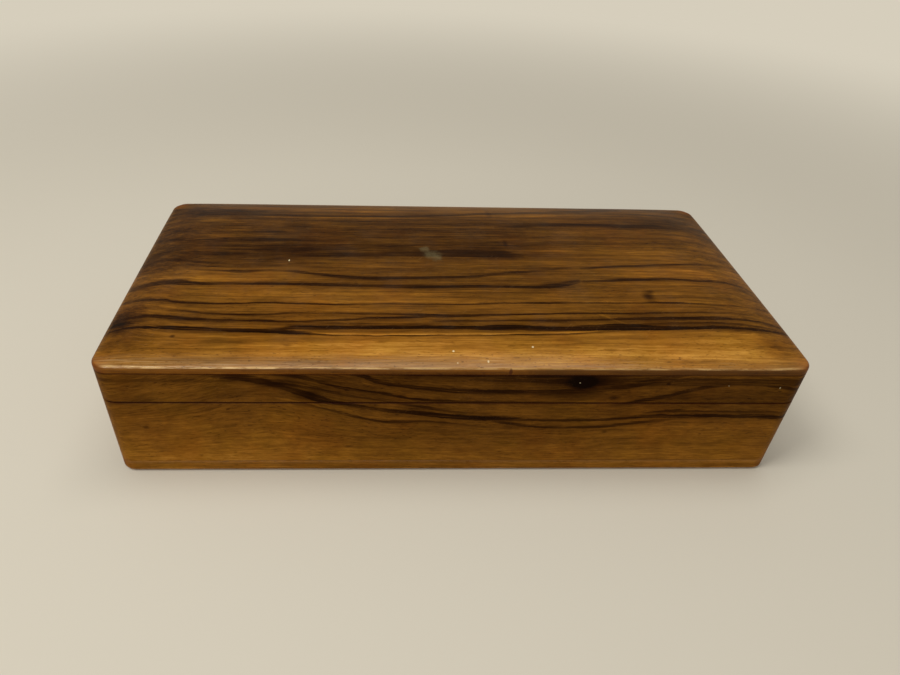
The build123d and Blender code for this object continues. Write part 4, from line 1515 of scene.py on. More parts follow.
class GeometryGraph(Graph):
    """A geometry node tree being wired, which ends in its Material."""

    def __init__(self, name: str, inputs: dict[str, float]) -> None:
        """Start the tree.

        Args:
            name: The tree's name.
            inputs: The values of its named sizes and counts.
        """
        super().__init__(bpy.data.node_groups.new(name, "GeometryNodeTree"))
        kinds = {label: "Int" if isinstance(value, int) else "Float" for label, value in inputs.items()}
        self.add_sockets({"Geometry": "Geometry", **kinds, "Material": "Material"}, {"Geometry": "Geometry"})
        for item in self.tree.interface.items_tree:
            if item.name in inputs:
                item.default_value = inputs[item.name]

    def moved(self, shape: Wire, **where: Wire) -> Wire:
        """Set a geometry's Position, or its Offset."""
        return self.made("GeometryNodeSetPosition", {"Geometry": shape, **where})

    def laid(self, points: Wire, instance: Wire, **how: Wire) -> Wire:
        """Lay an instance on each point, with its Rotation or Scale."""
        return self.made("GeometryNodeInstanceOnPoints", {"Points": points, "Instance": instance, **how})

    def drawn(self, low: float, high: float) -> Wire:
        """Draw a number for each point by the tree's Seed."""
        values = {2: low, 3: high, "Seed": self["Seed"]}
        return self.made("FunctionNodeRandomValue", values, 1, data_type="FLOAT")

    def smoothed(self, shape: Wire) -> Wire:
        """Shade a geometry smooth."""
        return self.made("GeometryNodeSetShadeSmooth", (shape,))

    def both(self, first: Wire, second: Wire) -> Wire:
        """Join two geometries.

        Args:
            first: The one.
            second: The other.

        Returns:
            Both as one.
        """
        join = self.put("GeometryNodeJoinGeometry", (first,))
        self.tree.links.new(second.socket, join.inputs[0])
        return self.wire(join)

    def closed_behind(self, shell: Wire, level: Wire | None = None) -> Wire:
        """Close an open shell with a flat face along its border.

        Args:
            shell: The shell.
            level: The face's level in millimetres, or None where the border already lies flat.

        Returns:
            The closed mesh.
        """
        neighbours = self.made("GeometryNodeInputMeshEdgeNeighbors")
        border = self.made("FunctionNodeCompare", {2: neighbours, 3: 1}, data_type="INT", operation="EQUAL")
        outline = self.made("GeometryNodeMeshToCurve", {"Mesh": shell, "Selection": border})
        back = self.made("GeometryNodeFillCurve", {"Curve": outline}, mode="NGONS")
        if level is not None:
            lift = self.scaled(self.joined(0.0, 0.0, level), MM)
            flat = self.vector("MULTIPLY", self.made("GeometryNodeInputPosition"), (1.0, 1.0, 0.0))
            back = self.moved(back, Position=self.vector("ADD", flat, lift))
        return self.made("GeometryNodeMergeByDistance", {"Geometry": self.both(shell, back), "Distance": 2e-6})

    def closed(self, shape: Wire) -> NodeTree:
        """End the tree in real meshes with their material.

        Args:
            shape: What it has made.

        Returns:
            The tree.
        """
        real = self.made("GeometryNodeRealizeInstances", (shape,))
        values = {"Geometry": real, "Material": self["Material"]}
        self.put("NodeGroupOutput", (self.made("GeometryNodeSetMaterial", values),))
        return self.tree


def grown(name: str, tree: NodeTree, values: dict, seed: Object | None = None) -> Object:
    """Run a geometry tree on an object and settle what it makes.

    Args:
        name: The object's name, where it is new.
        tree: The geometry tree.
        values: What the tree's inputs take, by name.
        seed: The object whose mesh the tree starts from, or None for an empty one.

    Returns:
        The object, as a plain mesh.
    """
    obj = seed or new_object(name, [])
    modifier = obj.modifiers.new("grow", "NODES")
    modifier.node_group = tree
    for item in tree.interface.items_tree:
        if item.in_out == "INPUT" and item.name in values:
            modifier[item.identifier] = values[item.name]
    settled(obj)
    obj.name = name
    return obj


# ---- The crowned lid board ----


@dataclass(frozen=True)
class CrownFormula:
    """The pillow's shape in the lid board's tree; its pairs run along and across, in millimetres.

    Attributes:
        graph: The tree.
        halves: Half the board's length and width.
        margins: How far from its borders the crown falls.
    """

    graph: GeometryGraph
    halves: tuple[Wire, Wire]
    margins: tuple[Wire, Wire]

    def shares(self, offsets: Sequence[Wire]) -> list[Wire]:
        """Give the crown's shares at a distance from the middle.

        Args:
            offsets: The distances.

        Returns:
            The shares.
        """
        depths = [
            ((half - offset) / margin.least(half)).least(1.0).most(0.0)
            for offset, half, margin in zip(offsets, self.halves, self.margins)
        ]
        return [1.0 - (1.0 - depth).power(self.graph["Power"]) for depth in depths]

    def level(self, offsets: Sequence[Wire]) -> Wire:
        """Give the level of the crown at a distance from the middle."""
        along, across = self.shares(offsets)
        return self.graph["Level"] + self.graph["Edge"] + self.graph["Crown"] * along * across

    def rounded(self, offsets: Sequence[Wire]) -> tuple[Wire, ...]:
        """Draw the square corners of the plan in to the rounded ones.

        Args:
            offsets: The distances from the middle.

        Returns:
            The distances that they become.
        """
        past = [(offset - (half - self.graph["Corner"])).most(0.0) for offset, half in zip(offsets, self.halves)]
        away = (past[0] * past[0] + past[1] * past[1]).power(0.5).most(1e-6)
        both = self.graph.math("GREATER_THAN", past[0].least(past[1]), 0.0)
        pull = both * (past[0].most(past[1]) / away - 1.0) + 1.0
        return tuple(offset - p + p * pull for offset, p in zip(offsets, past))


@dataclass(frozen=True)
class LidBoard:
    """The pillow-topped lid board; all sizes in millimetres.

    Attributes:
        corner: Radius of the upright corners.
        edge: Height of its square edge.
        crown: Rise of the pillow above that edge.
        end_margin: How far from the ends the crown falls.
        side_margin: The same from the front and back.
        power: How suddenly it falls near the edge.
        arris: Rounding of the arris.
        ease: Hairline bevel above the joint.
        rings: Rows of faces from the joint over the arris.
        cells: Faces along and across the board.
    """

    corner: float = 7.0
    edge: float = 2.8
    crown: float = 6.5
    end_margin: float = 60.0
    side_margin: float = 69.0
    power: float = 4.0
    arris: float = 1.4
    ease: float = 0.15
    rings: int = 10
    cells: tuple[int, int] = (232, 130)

    def _tree(self) -> NodeTree:
        """Build the geometry tree: a grid drawn over the pillow's formula and closed below.

        The grid's outer rings, counted from its border, climb the square edge and the arris.

        Returns:
            The tree.
        """
        inputs = {
            "Half length": BOX.half_length,
            "Half width": BOX.half_width,
            "Level": BOX.board,
            "Edge": self.edge,
            "Crown": self.crown,
            "End margin": self.end_margin,
            "Side margin": self.side_margin,
            "Power": self.power,
            "Corner": self.corner,
            "Arris": self.arris,
            "Ease": self.ease,
            "Rings": self.rings,
            "Cells along": self.cells[0],
            "Cells across": self.cells[1],
        }
        graph = GeometryGraph("Crowned board", inputs)
        halves = (graph["Half length"], graph["Half width"])
        form = CrownFormula(graph, halves, (graph["End margin"], graph["Side margin"]))
        rings, arris = graph["Rings"], graph["Arris"]
        counts = (graph["Cells along"], graph["Cells across"])
        corners = {f"Vertices {axis}": count + 1.0 for axis, count in zip("XY", counts)}
        grid = graph.made("GeometryNodeMeshGrid", {"Size X": 2.0, "Size Y": 2.0, **corners})
        plan = graph.parts(graph.made("GeometryNodeInputPosition"))[:2]
        signs = [graph.math("SIGN", p) for p in plan]
        steps = [(1.0 - abs(p)) * count * 0.5 for p, count in zip(plan, counts)]
        inner = [(step - rings).most(0.0) / (count * 0.5 - rings) for step, count in zip(steps, counts)]

        bare = [half * (1.0 - t) for half, t in zip(halves, inner)]
        share_along, share_across = form.shares(bare)
        steepness = share_along / graph["Side margin"].least(halves[1]) + share_across / graph["End margin"]
        slope = graph["Crown"] * graph["Power"] * steepness
        lean = (slope * slope + 1.0).power(0.5)
        ring = graph.math("ROUND", steps[0].least(steps[1]))
        turn = ((ring - 2.0) / (rings - 2.0)).least(1.0).most(0.0)
        angle = turn * graph.math("ARCTANGENT", 1.0 / slope.most(0.001))
        inset = arris * (1.0 - graph.math("COSINE", angle)) + (1.0 - ring).most(0.0) * graph["Ease"]
        end_inset = arris * (1.0 - slope / lean)
        places = [
            (half - inset) * graph.math("LESS_THAN", step, rings + 0.5)
            + (half - end_inset) * (1.0 - t) * graph.math("GREATER_THAN", step, rings + 0.5)
            for half, step, t in zip(halves, steps, inner)
        ]
        x, y = form.rounded(places)

        centre = form.level(form.rounded(bare)) + slope * arris - arris * lean
        arc_level = centre + arris * graph.math("SINE", angle)
        wall_level = graph["Level"] + graph["Ease"] * graph.math("GREATER_THAN", ring, 0.5)
        z = graph.mix(graph.math("GREATER_THAN", ring, 1.5), wall_level, arc_level)
        z = graph.mix(graph.math("GREATER_THAN", ring, rings - 0.5), z, form.level((x, y)))
        place = graph.scaled(graph.joined(x * signs[0], y * signs[1], z), MM)
        whole = graph.closed_behind(graph.moved(grid, Position=place), graph["Level"])
        return graph.closed(whole)

    def build(self, finishes: Finishes) -> None:
        """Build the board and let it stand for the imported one."""
        board = grown("crowned_lid_board", self._tree(), {"Material": finishes.top})
        turned_outwards(board)
        Piece("lid", "top_wood", 38.0, "lid_board").hand_over(board, finishes.top)


# ---- Silk lining ----


CLOTH = {
    "quality": 6,
    "mass": 0.15,
    "tension_stiffness": 12.0,
    "compression_stiffness": 12.0,
    "shear_stiffness": 4.0,
    "bending_stiffness": 0.12,
    "air_damping": 2.0,
    "vertex_group_mass": "held",
    "use_pressure": True,
}


@dataclass(frozen=True)
class Stuffing:
    """How a held sheet of silk swells over its wadding.

    Attributes:
        pressure: Cloth pressure.
        cap: How far a point may move, in millimetres.
        fullness: How much larger than its frame the silk is cut.
        frames: Steps of the simulation.
        enlarged: How many times larger the sheet is simulated, so that the solver holds it well.
    """

    pressure: float
    cap: float
    fullness: float = 0.05
    frames: int = 20
    enlarged: float = 20.0

    def swell(self, before: np.ndarray, faces: list[tuple], held: np.ndarray) -> np.ndarray:
        """Puff a sheet by cloth simulation.

        Args:
            before: Its points as it is sewn down, in millimetres.
            faces: Its faces, as point numbers.
            held: Whether each point is held, by row and column.

        Returns:
            The moved points, in millimetres.
        """
        obj = new_object("swelling_silk", before * self.enlarged, faces)
        group = obj.vertex_groups.new(name="held")
        group.add([int(n) for n in np.flatnonzero(held.reshape(-1))], 1.0, "REPLACE")
        cloth = obj.modifiers.new("cloth", "CLOTH")
        settings = cloth.settings
        for name, value in CLOTH.items():
            setattr(settings, name, value)
        settings.uniform_pressure_force = self.pressure
        settings.shrink_min = -self.fullness
        settings.effector_weights.gravity = 0.0
        cloth.collision_settings.use_collision = False
        cloth.point_cache.frame_start = 1
        cloth.point_cache.frame_end = self.frames
        scene = bpy.context.scene
        for number in range(1, self.frames + 1):
            scene.frame_set(number)
        settled(obj)
        after = np.empty(len(obj.data.vertices) * 3)
        obj.data.vertices.foreach_get("co", after)
        after = after.reshape(-1, 3) / (self.enlarged * MM)
        bpy.data.objects.remove(obj)
        scene.frame_set(1)
        shifts = after - before
        reach = np.linalg.norm(shifts, axis=1, keepdims=True)
        return before + shifts * np.minimum(1.0, self.cap / np.maximum(reach, 1e-6))


@dataclass(frozen=True)
class Piping:
    """Two-strand twisted silk piping round a pad; all sizes in millimetres.

    Attributes:
        radius: Outer radius.
        pitch: Length of one full turn of the twist.
        corner: Radius at which it goes round the corners.
        step: Distance between its sections.
        inset: How far its middle line stays inside the pad's solid.
    """

    radius: float = 0.95
    pitch: float = 4.4
    corner: float = 3.0
    step: float = 0.45
    inset: float = 1.0

    @staticmethod
    def _section(graph: GeometryGraph) -> Wire:
        """Make the two-lobed section of the twisted strands.

        Args:
            graph: The tree.

        Returns:
            The section.
        """
        ring = graph.made("GeometryNodeCurvePrimitiveCircle", {"Resolution": 14, "Radius": 1.0}, mode="RADIUS")
        x, y, _ = graph.parts(graph.made("GeometryNodeInputPosition"))
        lobe = abs(graph.math("COSINE", graph.math("ARCTAN2", y, x))) * 0.42 + 0.58
        place = graph.scaled(graph.joined(x, y, 0.0), lobe * graph["Radius"])
        return graph.moved(ring, Position=place)

    def _tree(self) -> NodeTree:
        """Build the tree: a rounded rectangle swept by a turning section.

        Returns:
            The tree.
        """
        inputs = {
            "Length": 0.2,
            "Width": 0.1,
            "Level": 0.01,
            "Radius": self.radius * MM,
            "Pitch": self.pitch * MM,
            "Corner": self.corner * MM,
            "Step": self.step * MM,
        }
        graph = GeometryGraph("Twisted piping", inputs)
        sides = {"Width": graph["Length"], "Height": graph["Width"]}
        line = graph.made("GeometryNodeCurvePrimitiveQuadrilateral", sides)
        bend = {"Curve": line, "Count": 10, "Radius": graph["Corner"]}
        bent = graph.made("GeometryNodeFilletCurve", bend, mode="POLY")
        even = graph.made("GeometryNodeResampleCurve", {"Curve": bent, "Length": graph["Step"]}, mode="LENGTH")
        lifted = graph.moved(even, Offset=graph.joined(0.0, 0.0, graph["Level"]))
        along = graph.made("GeometryNodeSplineParameter", output="Length")
        whole = graph.made("GeometryNodeSplineLength", output="Length")
        twist = along / whole * graph.math("ROUND", whole / graph["Pitch"]) * FULL_TURN
        turned = graph.made("GeometryNodeSetCurveTilt", {"Curve": lifted, "Tilt": twist})
        section = self._section(graph)
        swept = graph.made("GeometryNodeCurveToMesh", {"Curve": turned, "Profile Curve": section})
        return graph.closed(graph.smoothed(swept))

    def build(self, name: str, body: str, high: Vector, level: float, silk: Material) -> None:
        """Lay the piping round a pad.

        Args:
            name: The piece's name.
            body: The body it rides on.
            high: The highest corner of the pad's solid, in millimetres.
            level: Level of its middle line, in millimetres.
            silk: Its silk.
        """
        length, width = (2.0 * (half - self.inset) * MM for half in high[:2])
        values = {"Length": length, "Width": width, "Level": level * MM, "Material": silk}
        piping = grown(name, self._tree(), values)
        turned_outwards(piping)
        Piece(body, "silk", 70.0).hand_over(piping, silk)


@dataclass(frozen=True)
class Pad:
    """A pad of silk sewn down over wadding, with piping round it; all sizes in millimetres.

    Attributes:
        node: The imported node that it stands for.
        cells: Cells along and across.
        upwards: Whether the silk faces up.
        stuffing: How it swells.
        inset: How far the silk stays inside the pad's solid, for the piping.
        rolls: The rings of its rolled sides: how far out, and how far down to its back.
    """

    node: str
    cells: tuple[int, int]
    upwards: bool
    stuffing: Stuffing
    inset: float = 1.5
    rolls: tuple[tuple[float, float], ...] = ((0.5, 0.25), (0.7, 0.6), (0.6, 1.0))

    @property
    def halves(self) -> tuple[float, float]:
        """Give half the length and half the width of its silk."""
        high = span(self.node)[1]
        return high.x - self.inset, high.y - self.inset

    def _grid(self) -> tuple[np.ndarray, np.ndarray]:
        """Give the row and the column of each point."""
        rows, columns = np.mgrid[0 : self.cells[1] + 1, 0 : self.cells[0] + 1]
        return rows, columns

    def _rim(self, cell_x: float = 1.0, cell_y: float = 1.0) -> np.ndarray:
        """Measure how far each point is from the border.

        Args:
            cell_x: Length of a cell.
            cell_y: Width of a cell.

        Returns:
            The distances, by row and column.
        """
        rows, columns = self._grid()
        across = np.minimum(rows, self.cells[1] - rows) * cell_y
        return np.minimum(across, np.minimum(columns, self.cells[0] - columns) * cell_x)

    def _points(self, heights: np.ndarray) -> np.ndarray:
        """Give the silk's points in rows.

        Args:
            heights: The level of each point, by row and column.

        Returns:
            The points, in millimetres.
        """
        rows, columns = self._grid()
        x = (columns / self.cells[0] * 2.0 - 1.0) * self.halves[0]
        y = (rows / self.cells[1] * 2.0 - 1.0) * self.halves[1]
        return np.stack((x, y, heights), axis=-1).reshape(-1, 3)

    def _turned(self, faces: Iterable[tuple]) -> list[tuple]:
        """Turn faces that are seen from above the way the silk faces."""
        return [face if self.upwards else face[::-1] for face in faces]

    def _faces(self) -> list[tuple]:
        """Give the silk's faces, as point numbers.

        Returns:
            The faces.
        """
        row = self.cells[0] + 1
        corners = [j * row + i for j in range(self.cells[1]) for i in range(self.cells[0])]
        return self._turned((n, n + 1, n + row + 1, n + row) for n in corners)

    def _border(self) -> list[int]:
        """Give the numbers of the silk's border points, in order round it.

        Returns:
            The numbers.
        """
        row, rows = self.cells[0] + 1, self.cells[1] + 1
        low = list(range(row - 1))
        right = [row - 1 + j * row for j in range(rows - 1)]
        high = [rows * row - 1 - i for i in range(row - 1)]
        left = [(rows - 1 - j) * row for j in range(rows - 1)]
        return low + right + high + left

    def _closed(self, name: str, points: np.ndarray, base: float) -> Object:
        """Close the puffed silk with rolled sides and a flat back.

        Args:
            name: The pad's name.
            points: The silk's puffed points, in millimetres.
            base: Level of the pad's flat back.

        Returns:
            The pad, as one closed mesh.
        """
        border = self._border()
        rim = points[border]
        outward = np.sign(rim[:, :2]) * (np.abs(rim[:, :2]) >= np.array(self.halves) - 0.01)
        levels = [points]
        for out, share in self.rolls:
            ring = rim.copy()
            ring[:, :2] += outward * out
            ring[:, 2] = rim[:, 2] + (base - rim[:, 2]) * share
            levels.append(ring)
        count = len(border)
        rings = [border]
        rings += [[len(points) + r * count + n for n in range(count)] for r in range(len(self.rolls))]
        faces = self._faces()
        for upper, lower in zip(rings, rings[1:]):
            steps = [(n, (n + 1) % count) for n in range(count)]
            faces += self._turned((upper[n], lower[n], lower[m], upper[m]) for n, m in steps)
        last, (columns, side) = rings[-1], self.cells
        low, high = last[: columns + 1], (last[columns + side :] + last[:1])[: columns + 1][::-1]
        faces += [(low[n], high[n], high[n + 1], low[n + 1]) for n in range(1, columns - 1)]
        faces.append(last[columns - 1 : columns + side + 2])
        faces.append(last[2 * columns + side - 1 :] + last[:2])
        pad = new_object(name, np.concatenate(levels), faces)
        turned_outwards(pad)
        return pad

    def _sewn(
        self, name: str, heights: np.ndarray, held: np.ndarray, reach: tuple[float, float]
    ) -> tuple[Object, np.ndarray]:
        """Swell the silk and close it to a pad.

        Args:
            name: The pad's name.
            heights: The level at which each point is sewn down, by row and column.
            held: Whether each point is held, by row and column.
            reach: The lowest and highest level that the silk may take.

        Returns:
            The pad, and the silk's points by row and column, in millimetres.
        """
        low, high = span(self.node)
        points = self.stuffing.swell(self._points(heights), self._faces(), held)
        points[:, 2] = np.clip(points[:, 2], *reach)
        pad = self._closed(name, points, low.z if self.upwards else high.z)
        subdivide = pad.modifiers.new("subdivide", "SUBSURF")
        subdivide.levels = subdivide.render_levels = 1
        return settled(pad), points.reshape(*heights.shape, 3)


@dataclass(frozen=True)
class FloorPad(Pad):
    """The diamond-quilted pad on the floor of the box; all sizes in millimetres.

    Attributes:
        diamond: Cells between two sewn lines.
        sewn: Height of the sewn lines above the card.
        rise: Height of the puffs above the sewn lines.
        lowest: The least height of the silk above the card.
        top_gap: How far the puffs stay below the top of the solid.
        piping_level: Height of the piping above the card.
        thread_lift: How far the stitches lie above the silk.
    """

    node: str = "floor_pad"
    cells: tuple[int, int] = (128, 64)
    upwards: bool = True
    stuffing: Stuffing = Stuffing(pressure=5.0, cap=1.6)
    diamond: int = 16
    sewn: float = 2.5
    rise: float = 1.5
    lowest: float = 1.2
    top_gap: float = 0.05
    piping_level: float = 3.2
    thread_lift: float = 0.06

    def build(self, finishes: Finishes) -> None:
        """Build the pad, its stitches and its piping.

        Args:
            finishes: The finishes.
        """
        low, high = span(self.node)
        rows, columns = self._grid()
        first, second = (rows + columns) % self.diamond, (columns - rows) % self.diamond
        rim = self._rim()
        held = (rim == 0) | (first == 0) | (second == 0)
        waves = np.abs(np.sin(math.pi * first / self.diamond) * np.sin(math.pi * second / self.diamond))
        heights = low.z + self.sewn + self.rise * np.sqrt(waves) * np.minimum(1.0, rim / 3.0)
        reach = (low.z + self.lowest, high.z - self.top_gap)
        pad, grid = self._sewn("quilted_floor_pad", heights, held, reach)
        Piece("base", "silk", 75.0, "floor_pad", 0.7).hand_over(pad, finishes.silk)
        self._stitch(grid + np.array((0.0, 0.0, self.thread_lift)), finishes.thread)
        Piping().build("floor_pad_piping", "base", high, low.z + self.piping_level, finishes.trim)

    def _stitch(self, grid: np.ndarray, thread: Material) -> None:
        """Sew along the diamonds.

        Args:
            grid: The places of the thread, by row and column, in millimetres.
            thread: The thread's finish.
        """
        (along, across), shortest = self.cells, 4
        lines = []
        for turn in (1, -1):
            for start in range(-across, along + across + 1, self.diamond):
                line = [grid[j, start + turn * j] for j in range(1, across) if 0 < start + turn * j < along]
                if len(line) > shortest:
                    lines.append(np.array(line))
        seams = lines_mesh("floor_pad_stitches", lines)
        stitches = grown("floor_pad_stitches", self._stitch_tree(), {"Material": thread}, seams)
        Piece("base", "silk", 80.0).hand_over(stitches, thread)

    @staticmethod
    def _stitch_tree() -> NodeTree:
        """Build the tree that lays thread stitches along sewn lines.

        Returns:
            The tree.
        """
        inputs = {"Pitch": 3.0 * MM, "Length": 2.1 * MM, "Thickness": 0.22 * MM, "Seed": 5}
        graph = GeometryGraph("Stitches", inputs)
        curve = graph.made("GeometryNodeMeshToCurve", {"Mesh": graph["Geometry"]})
        spots = graph.put("GeometryNodeCurveToPoints", {"Curve": curve, "Length": graph["Pitch"]}, mode="LENGTH")
        ball = graph.made("GeometryNodeMeshUVSphere", {"Segments": 6, "Rings": 5, "Radius": 0.5})
        wobble = graph.drawn(0.85, 1.1)
        size = graph.scaled(graph.joined(graph["Thickness"], graph["Thickness"], graph["Length"]), wobble)
        turned = graph.wire(spots, "Rotation")
        laid = graph.laid(graph.wire(spots), ball, Rotation=turned, Scale=size)
        return graph.closed(graph.smoothed(graph.made("GeometryNodeRealizeInstances", (laid,))))


@dataclass(frozen=True)
class LidPad(Pad):
    """The buttoned pad inside the lid, facing down; all sizes in millimetres.

    Attributes:
        pitch: Cells between buttons along and across, every other row moved by half.
        edge: Height of the silk's border above the lowest level of the solid.
        sunk: How deep the buttons sit below the puffs.
        rise: How far the puffs stand below the edge of the silk.
        spread: How far a puff needs to rise, and a button's dip to end.
        bottom_gap: How far the puffs stay above the lowest level of the solid.
        back_gap: How far the silk stays below the card.
        button: Radius of a button.
        piping_level: How far the piping lies below the card.
    """

    node: str = "lid_pad"
    cells: tuple[int, int] = (132, 60)
    upwards: bool = False
    stuffing: Stuffing = Stuffing(pressure=4.0, cap=1.8)
    pitch: tuple[int, int] = (22, 15)
    edge: float = 2.6
    sunk: float = 3.4
    rise: float = 1.6
    spread: float = 6.0
    bottom_gap: float = 0.05
    back_gap: float = 0.6
    button: float = 2.6
    piping_level: float = 3.0

    def _buttons(self) -> list[tuple[int, int]]:
        """Give the buttons' places as (column, row) in the grid.

        Returns:
            The places.
        """
        places = []
        for number, row in enumerate(range(self.pitch[1], self.cells[1], self.pitch[1])):
            start = self.pitch[0] if number % 2 else self.pitch[0] // 2
            places += [(column, row) for column in range(start, self.cells[0], self.pitch[0])]
        return places

    def build(self, finishes: Finishes) -> None:
        """Build the pad, its buttons and its piping.

        Args:
            finishes: The finishes.
        """
        low, high = span(self.node)
        buttons = self._buttons()
        rows, columns = self._grid()
        cell_x, cell_y = (2.0 * half / count for half, count in zip(self.halves, self.cells))
        away = [np.hypot((columns - i) * cell_x, (rows - j) * cell_y) for i, j in buttons]
        nearest = functools.reduce(np.minimum, away)
        rim = self._rim(cell_x, cell_y)
        swell = 1.0 - np.exp(-rim / self.spread)
        dip = np.exp(-((nearest / self.spread) ** 1.3))
        heights = low.z + self.edge - self.rise * swell + self.sunk * dip * swell
        held = (rim < 0.1) | (nearest < self.button * 0.8)
        reach = (low.z + self.bottom_gap, high.z - self.back_gap)
        pad, grid = self._sewn("buttoned_lid_pad", heights, held, reach)
        Piece("lid", "silk", 75.0, "lid_pad", 0.75).hand_over(pad, finishes.silk)

        spots = new_object("lid_pad_buttons", [grid[row, column] for column, row in buttons])
        sewn = grown("lid_pad_buttons", self._button_tree(), {"Material": finishes.silk}, spots)
        turned_outwards(sewn)
        Piece("lid", "silk", 60.0).hand_over(sewn, finishes.silk)
        Piping().build("lid_pad_piping", "lid", high, high.z - self.piping_level, finishes.trim)

    def _button_tree(self) -> NodeTree:
        """Build the tree that sews a covered button on at each point.

        Returns:
            The tree.
        """
        inputs = {"Radius": self.button * MM, "Height": 1.2 * MM, "Sink": 0.35 * MM, "Seed": 9}
        graph = GeometryGraph("Covered buttons", inputs)
        dome = graph.made("GeometryNodeMeshUVSphere", {"Segments": 28, "Rings": 14, "Radius": 1.0})
        lean = {0: (-0.06, -0.06, 0.0), 1: (0.06, 0.06, 6.28), "Seed": graph["Seed"]}
        tilt = graph.made("FunctionNodeRandomValue", lean, data_type="FLOAT_VECTOR")
        lifted = graph.moved(graph["Geometry"], Offset=graph.joined(0.0, 0.0, graph["Sink"] * -1.0))
        size = graph.joined(graph["Radius"], graph["Radius"], graph["Height"])
        return graph.closed(graph.laid(lifted, dome, Rotation=tilt, Scale=size))


@dataclass(frozen=True)
class WallPanels:
    """The four ruched silk panels inside the base; all sizes in millimetres.

    Attributes:
        clear: Clearance to the lips, the floor and the mitres.
        pitch: Distance between pleats.
        depth: Depth of the pleats.
        step: Distance between points along a panel.
        points_up: Points up a panel.
    """

    clear: float = 0.03
    pitch: float = 4.6
    depth: float = 0.42
    step: float = 0.8
    points_up: int = 30

    def _tree(self) -> NodeTree:
        """Build the tree: a flat card wrapped in gathered silk, its edges rolled to the back.

        Returns:
            The tree.
        """
        inputs = {
            "Length": 0.2,
            "Height": 0.03,
            "Thickness": 1.2 * MM,
            "Pitch": self.pitch * MM,
            "Depth": self.depth * MM,
            "Points along": 320,
            "Points up": self.points_up,
            "Seed": 0.0,
        }
        graph = GeometryGraph("Ruched panel", inputs)
        size = {"Size X": graph["Length"], "Size Y": graph["Height"]}
        counts = {"Vertices X": graph["Points along"], "Vertices Y": graph["Points up"]}
        grid = graph.made("GeometryNodeMeshGrid", {**size, **counts})
        x, y, _ = graph.parts(graph.made("GeometryNodeInputPosition"))
        inner = (graph["Length"] * 0.5 - abs(x)).least(graph["Height"] * 0.5 - abs(y)).most(0.0)
        roll = (inner / (graph["Thickness"] * 2.0)).least(1.0)
        body = graph["Thickness"] * (1.0 - (1.0 - roll) * (1.0 - roll))
        drift = graph.noise(graph.joined(x * 90.0, y * 25.0, graph["Seed"]), 1.0, 1.0)
        pleat = graph.math("SINE", x / graph["Pitch"] * FULL_TURN + (drift - 0.5) * 9.0) * 0.5 + 0.5
        fine = graph.noise(graph.joined(x * 700.0, y * 60.0, graph["Seed"]), 1.0, 2.0)
        folds = (pleat.power(1.5) * 0.7 + fine * 0.5).least(1.0)
        place = graph.joined(x, y, body - graph["Depth"] * folds * roll)
        return graph.closed(graph.closed_behind(graph.moved(grid, Position=place)))

    def build(self, finishes: Finishes) -> None:
        """Build the four panels.

        Args:
            finishes: The finishes.
        """
        tree = self._tree()
        upright = Euler((math.pi / 2, 0.0, 0.0)).to_matrix().to_4x4()
        quarter = math.pi / 2
        sides = (("front", 1, 0, math.pi), ("back", 1, 1, 0.0), ("left", 0, 0, quarter), ("right", 0, 1, -quarter))
        for number, (side, through, outer, turn) in enumerate(sides):
            corners = span(f"{side}_panel")
            size = corners[1] - corners[0]
            length = size[1 - through] - 2.0 * self.clear
            values = {
                "Length": length * MM,
                "Height": (size.z - self.clear) * MM,
                "Thickness": (size[through] - self.clear) * MM,
                "Points along": int(length / self.step),
                "Points up": self.points_up,
                "Seed": 3.0 + number,
                "Material": finishes.silk,
            }
            panel = grown(f"ruched_{side}_panel", tree, values)
            back = (corners[0] + corners[1]) / 2
            back[through] = corners[outer][through]
            panel.data.transform(Matrix.Translation(back * MM) @ Matrix.Rotation(turn, 4, "Z") @ upright)
            turned_outwards(panel)
            Piece("base", "silk", 60.0, f"{side}_panel", 0.4).hand_over(panel, finishes.silk)


# ---- Hinge screws ----


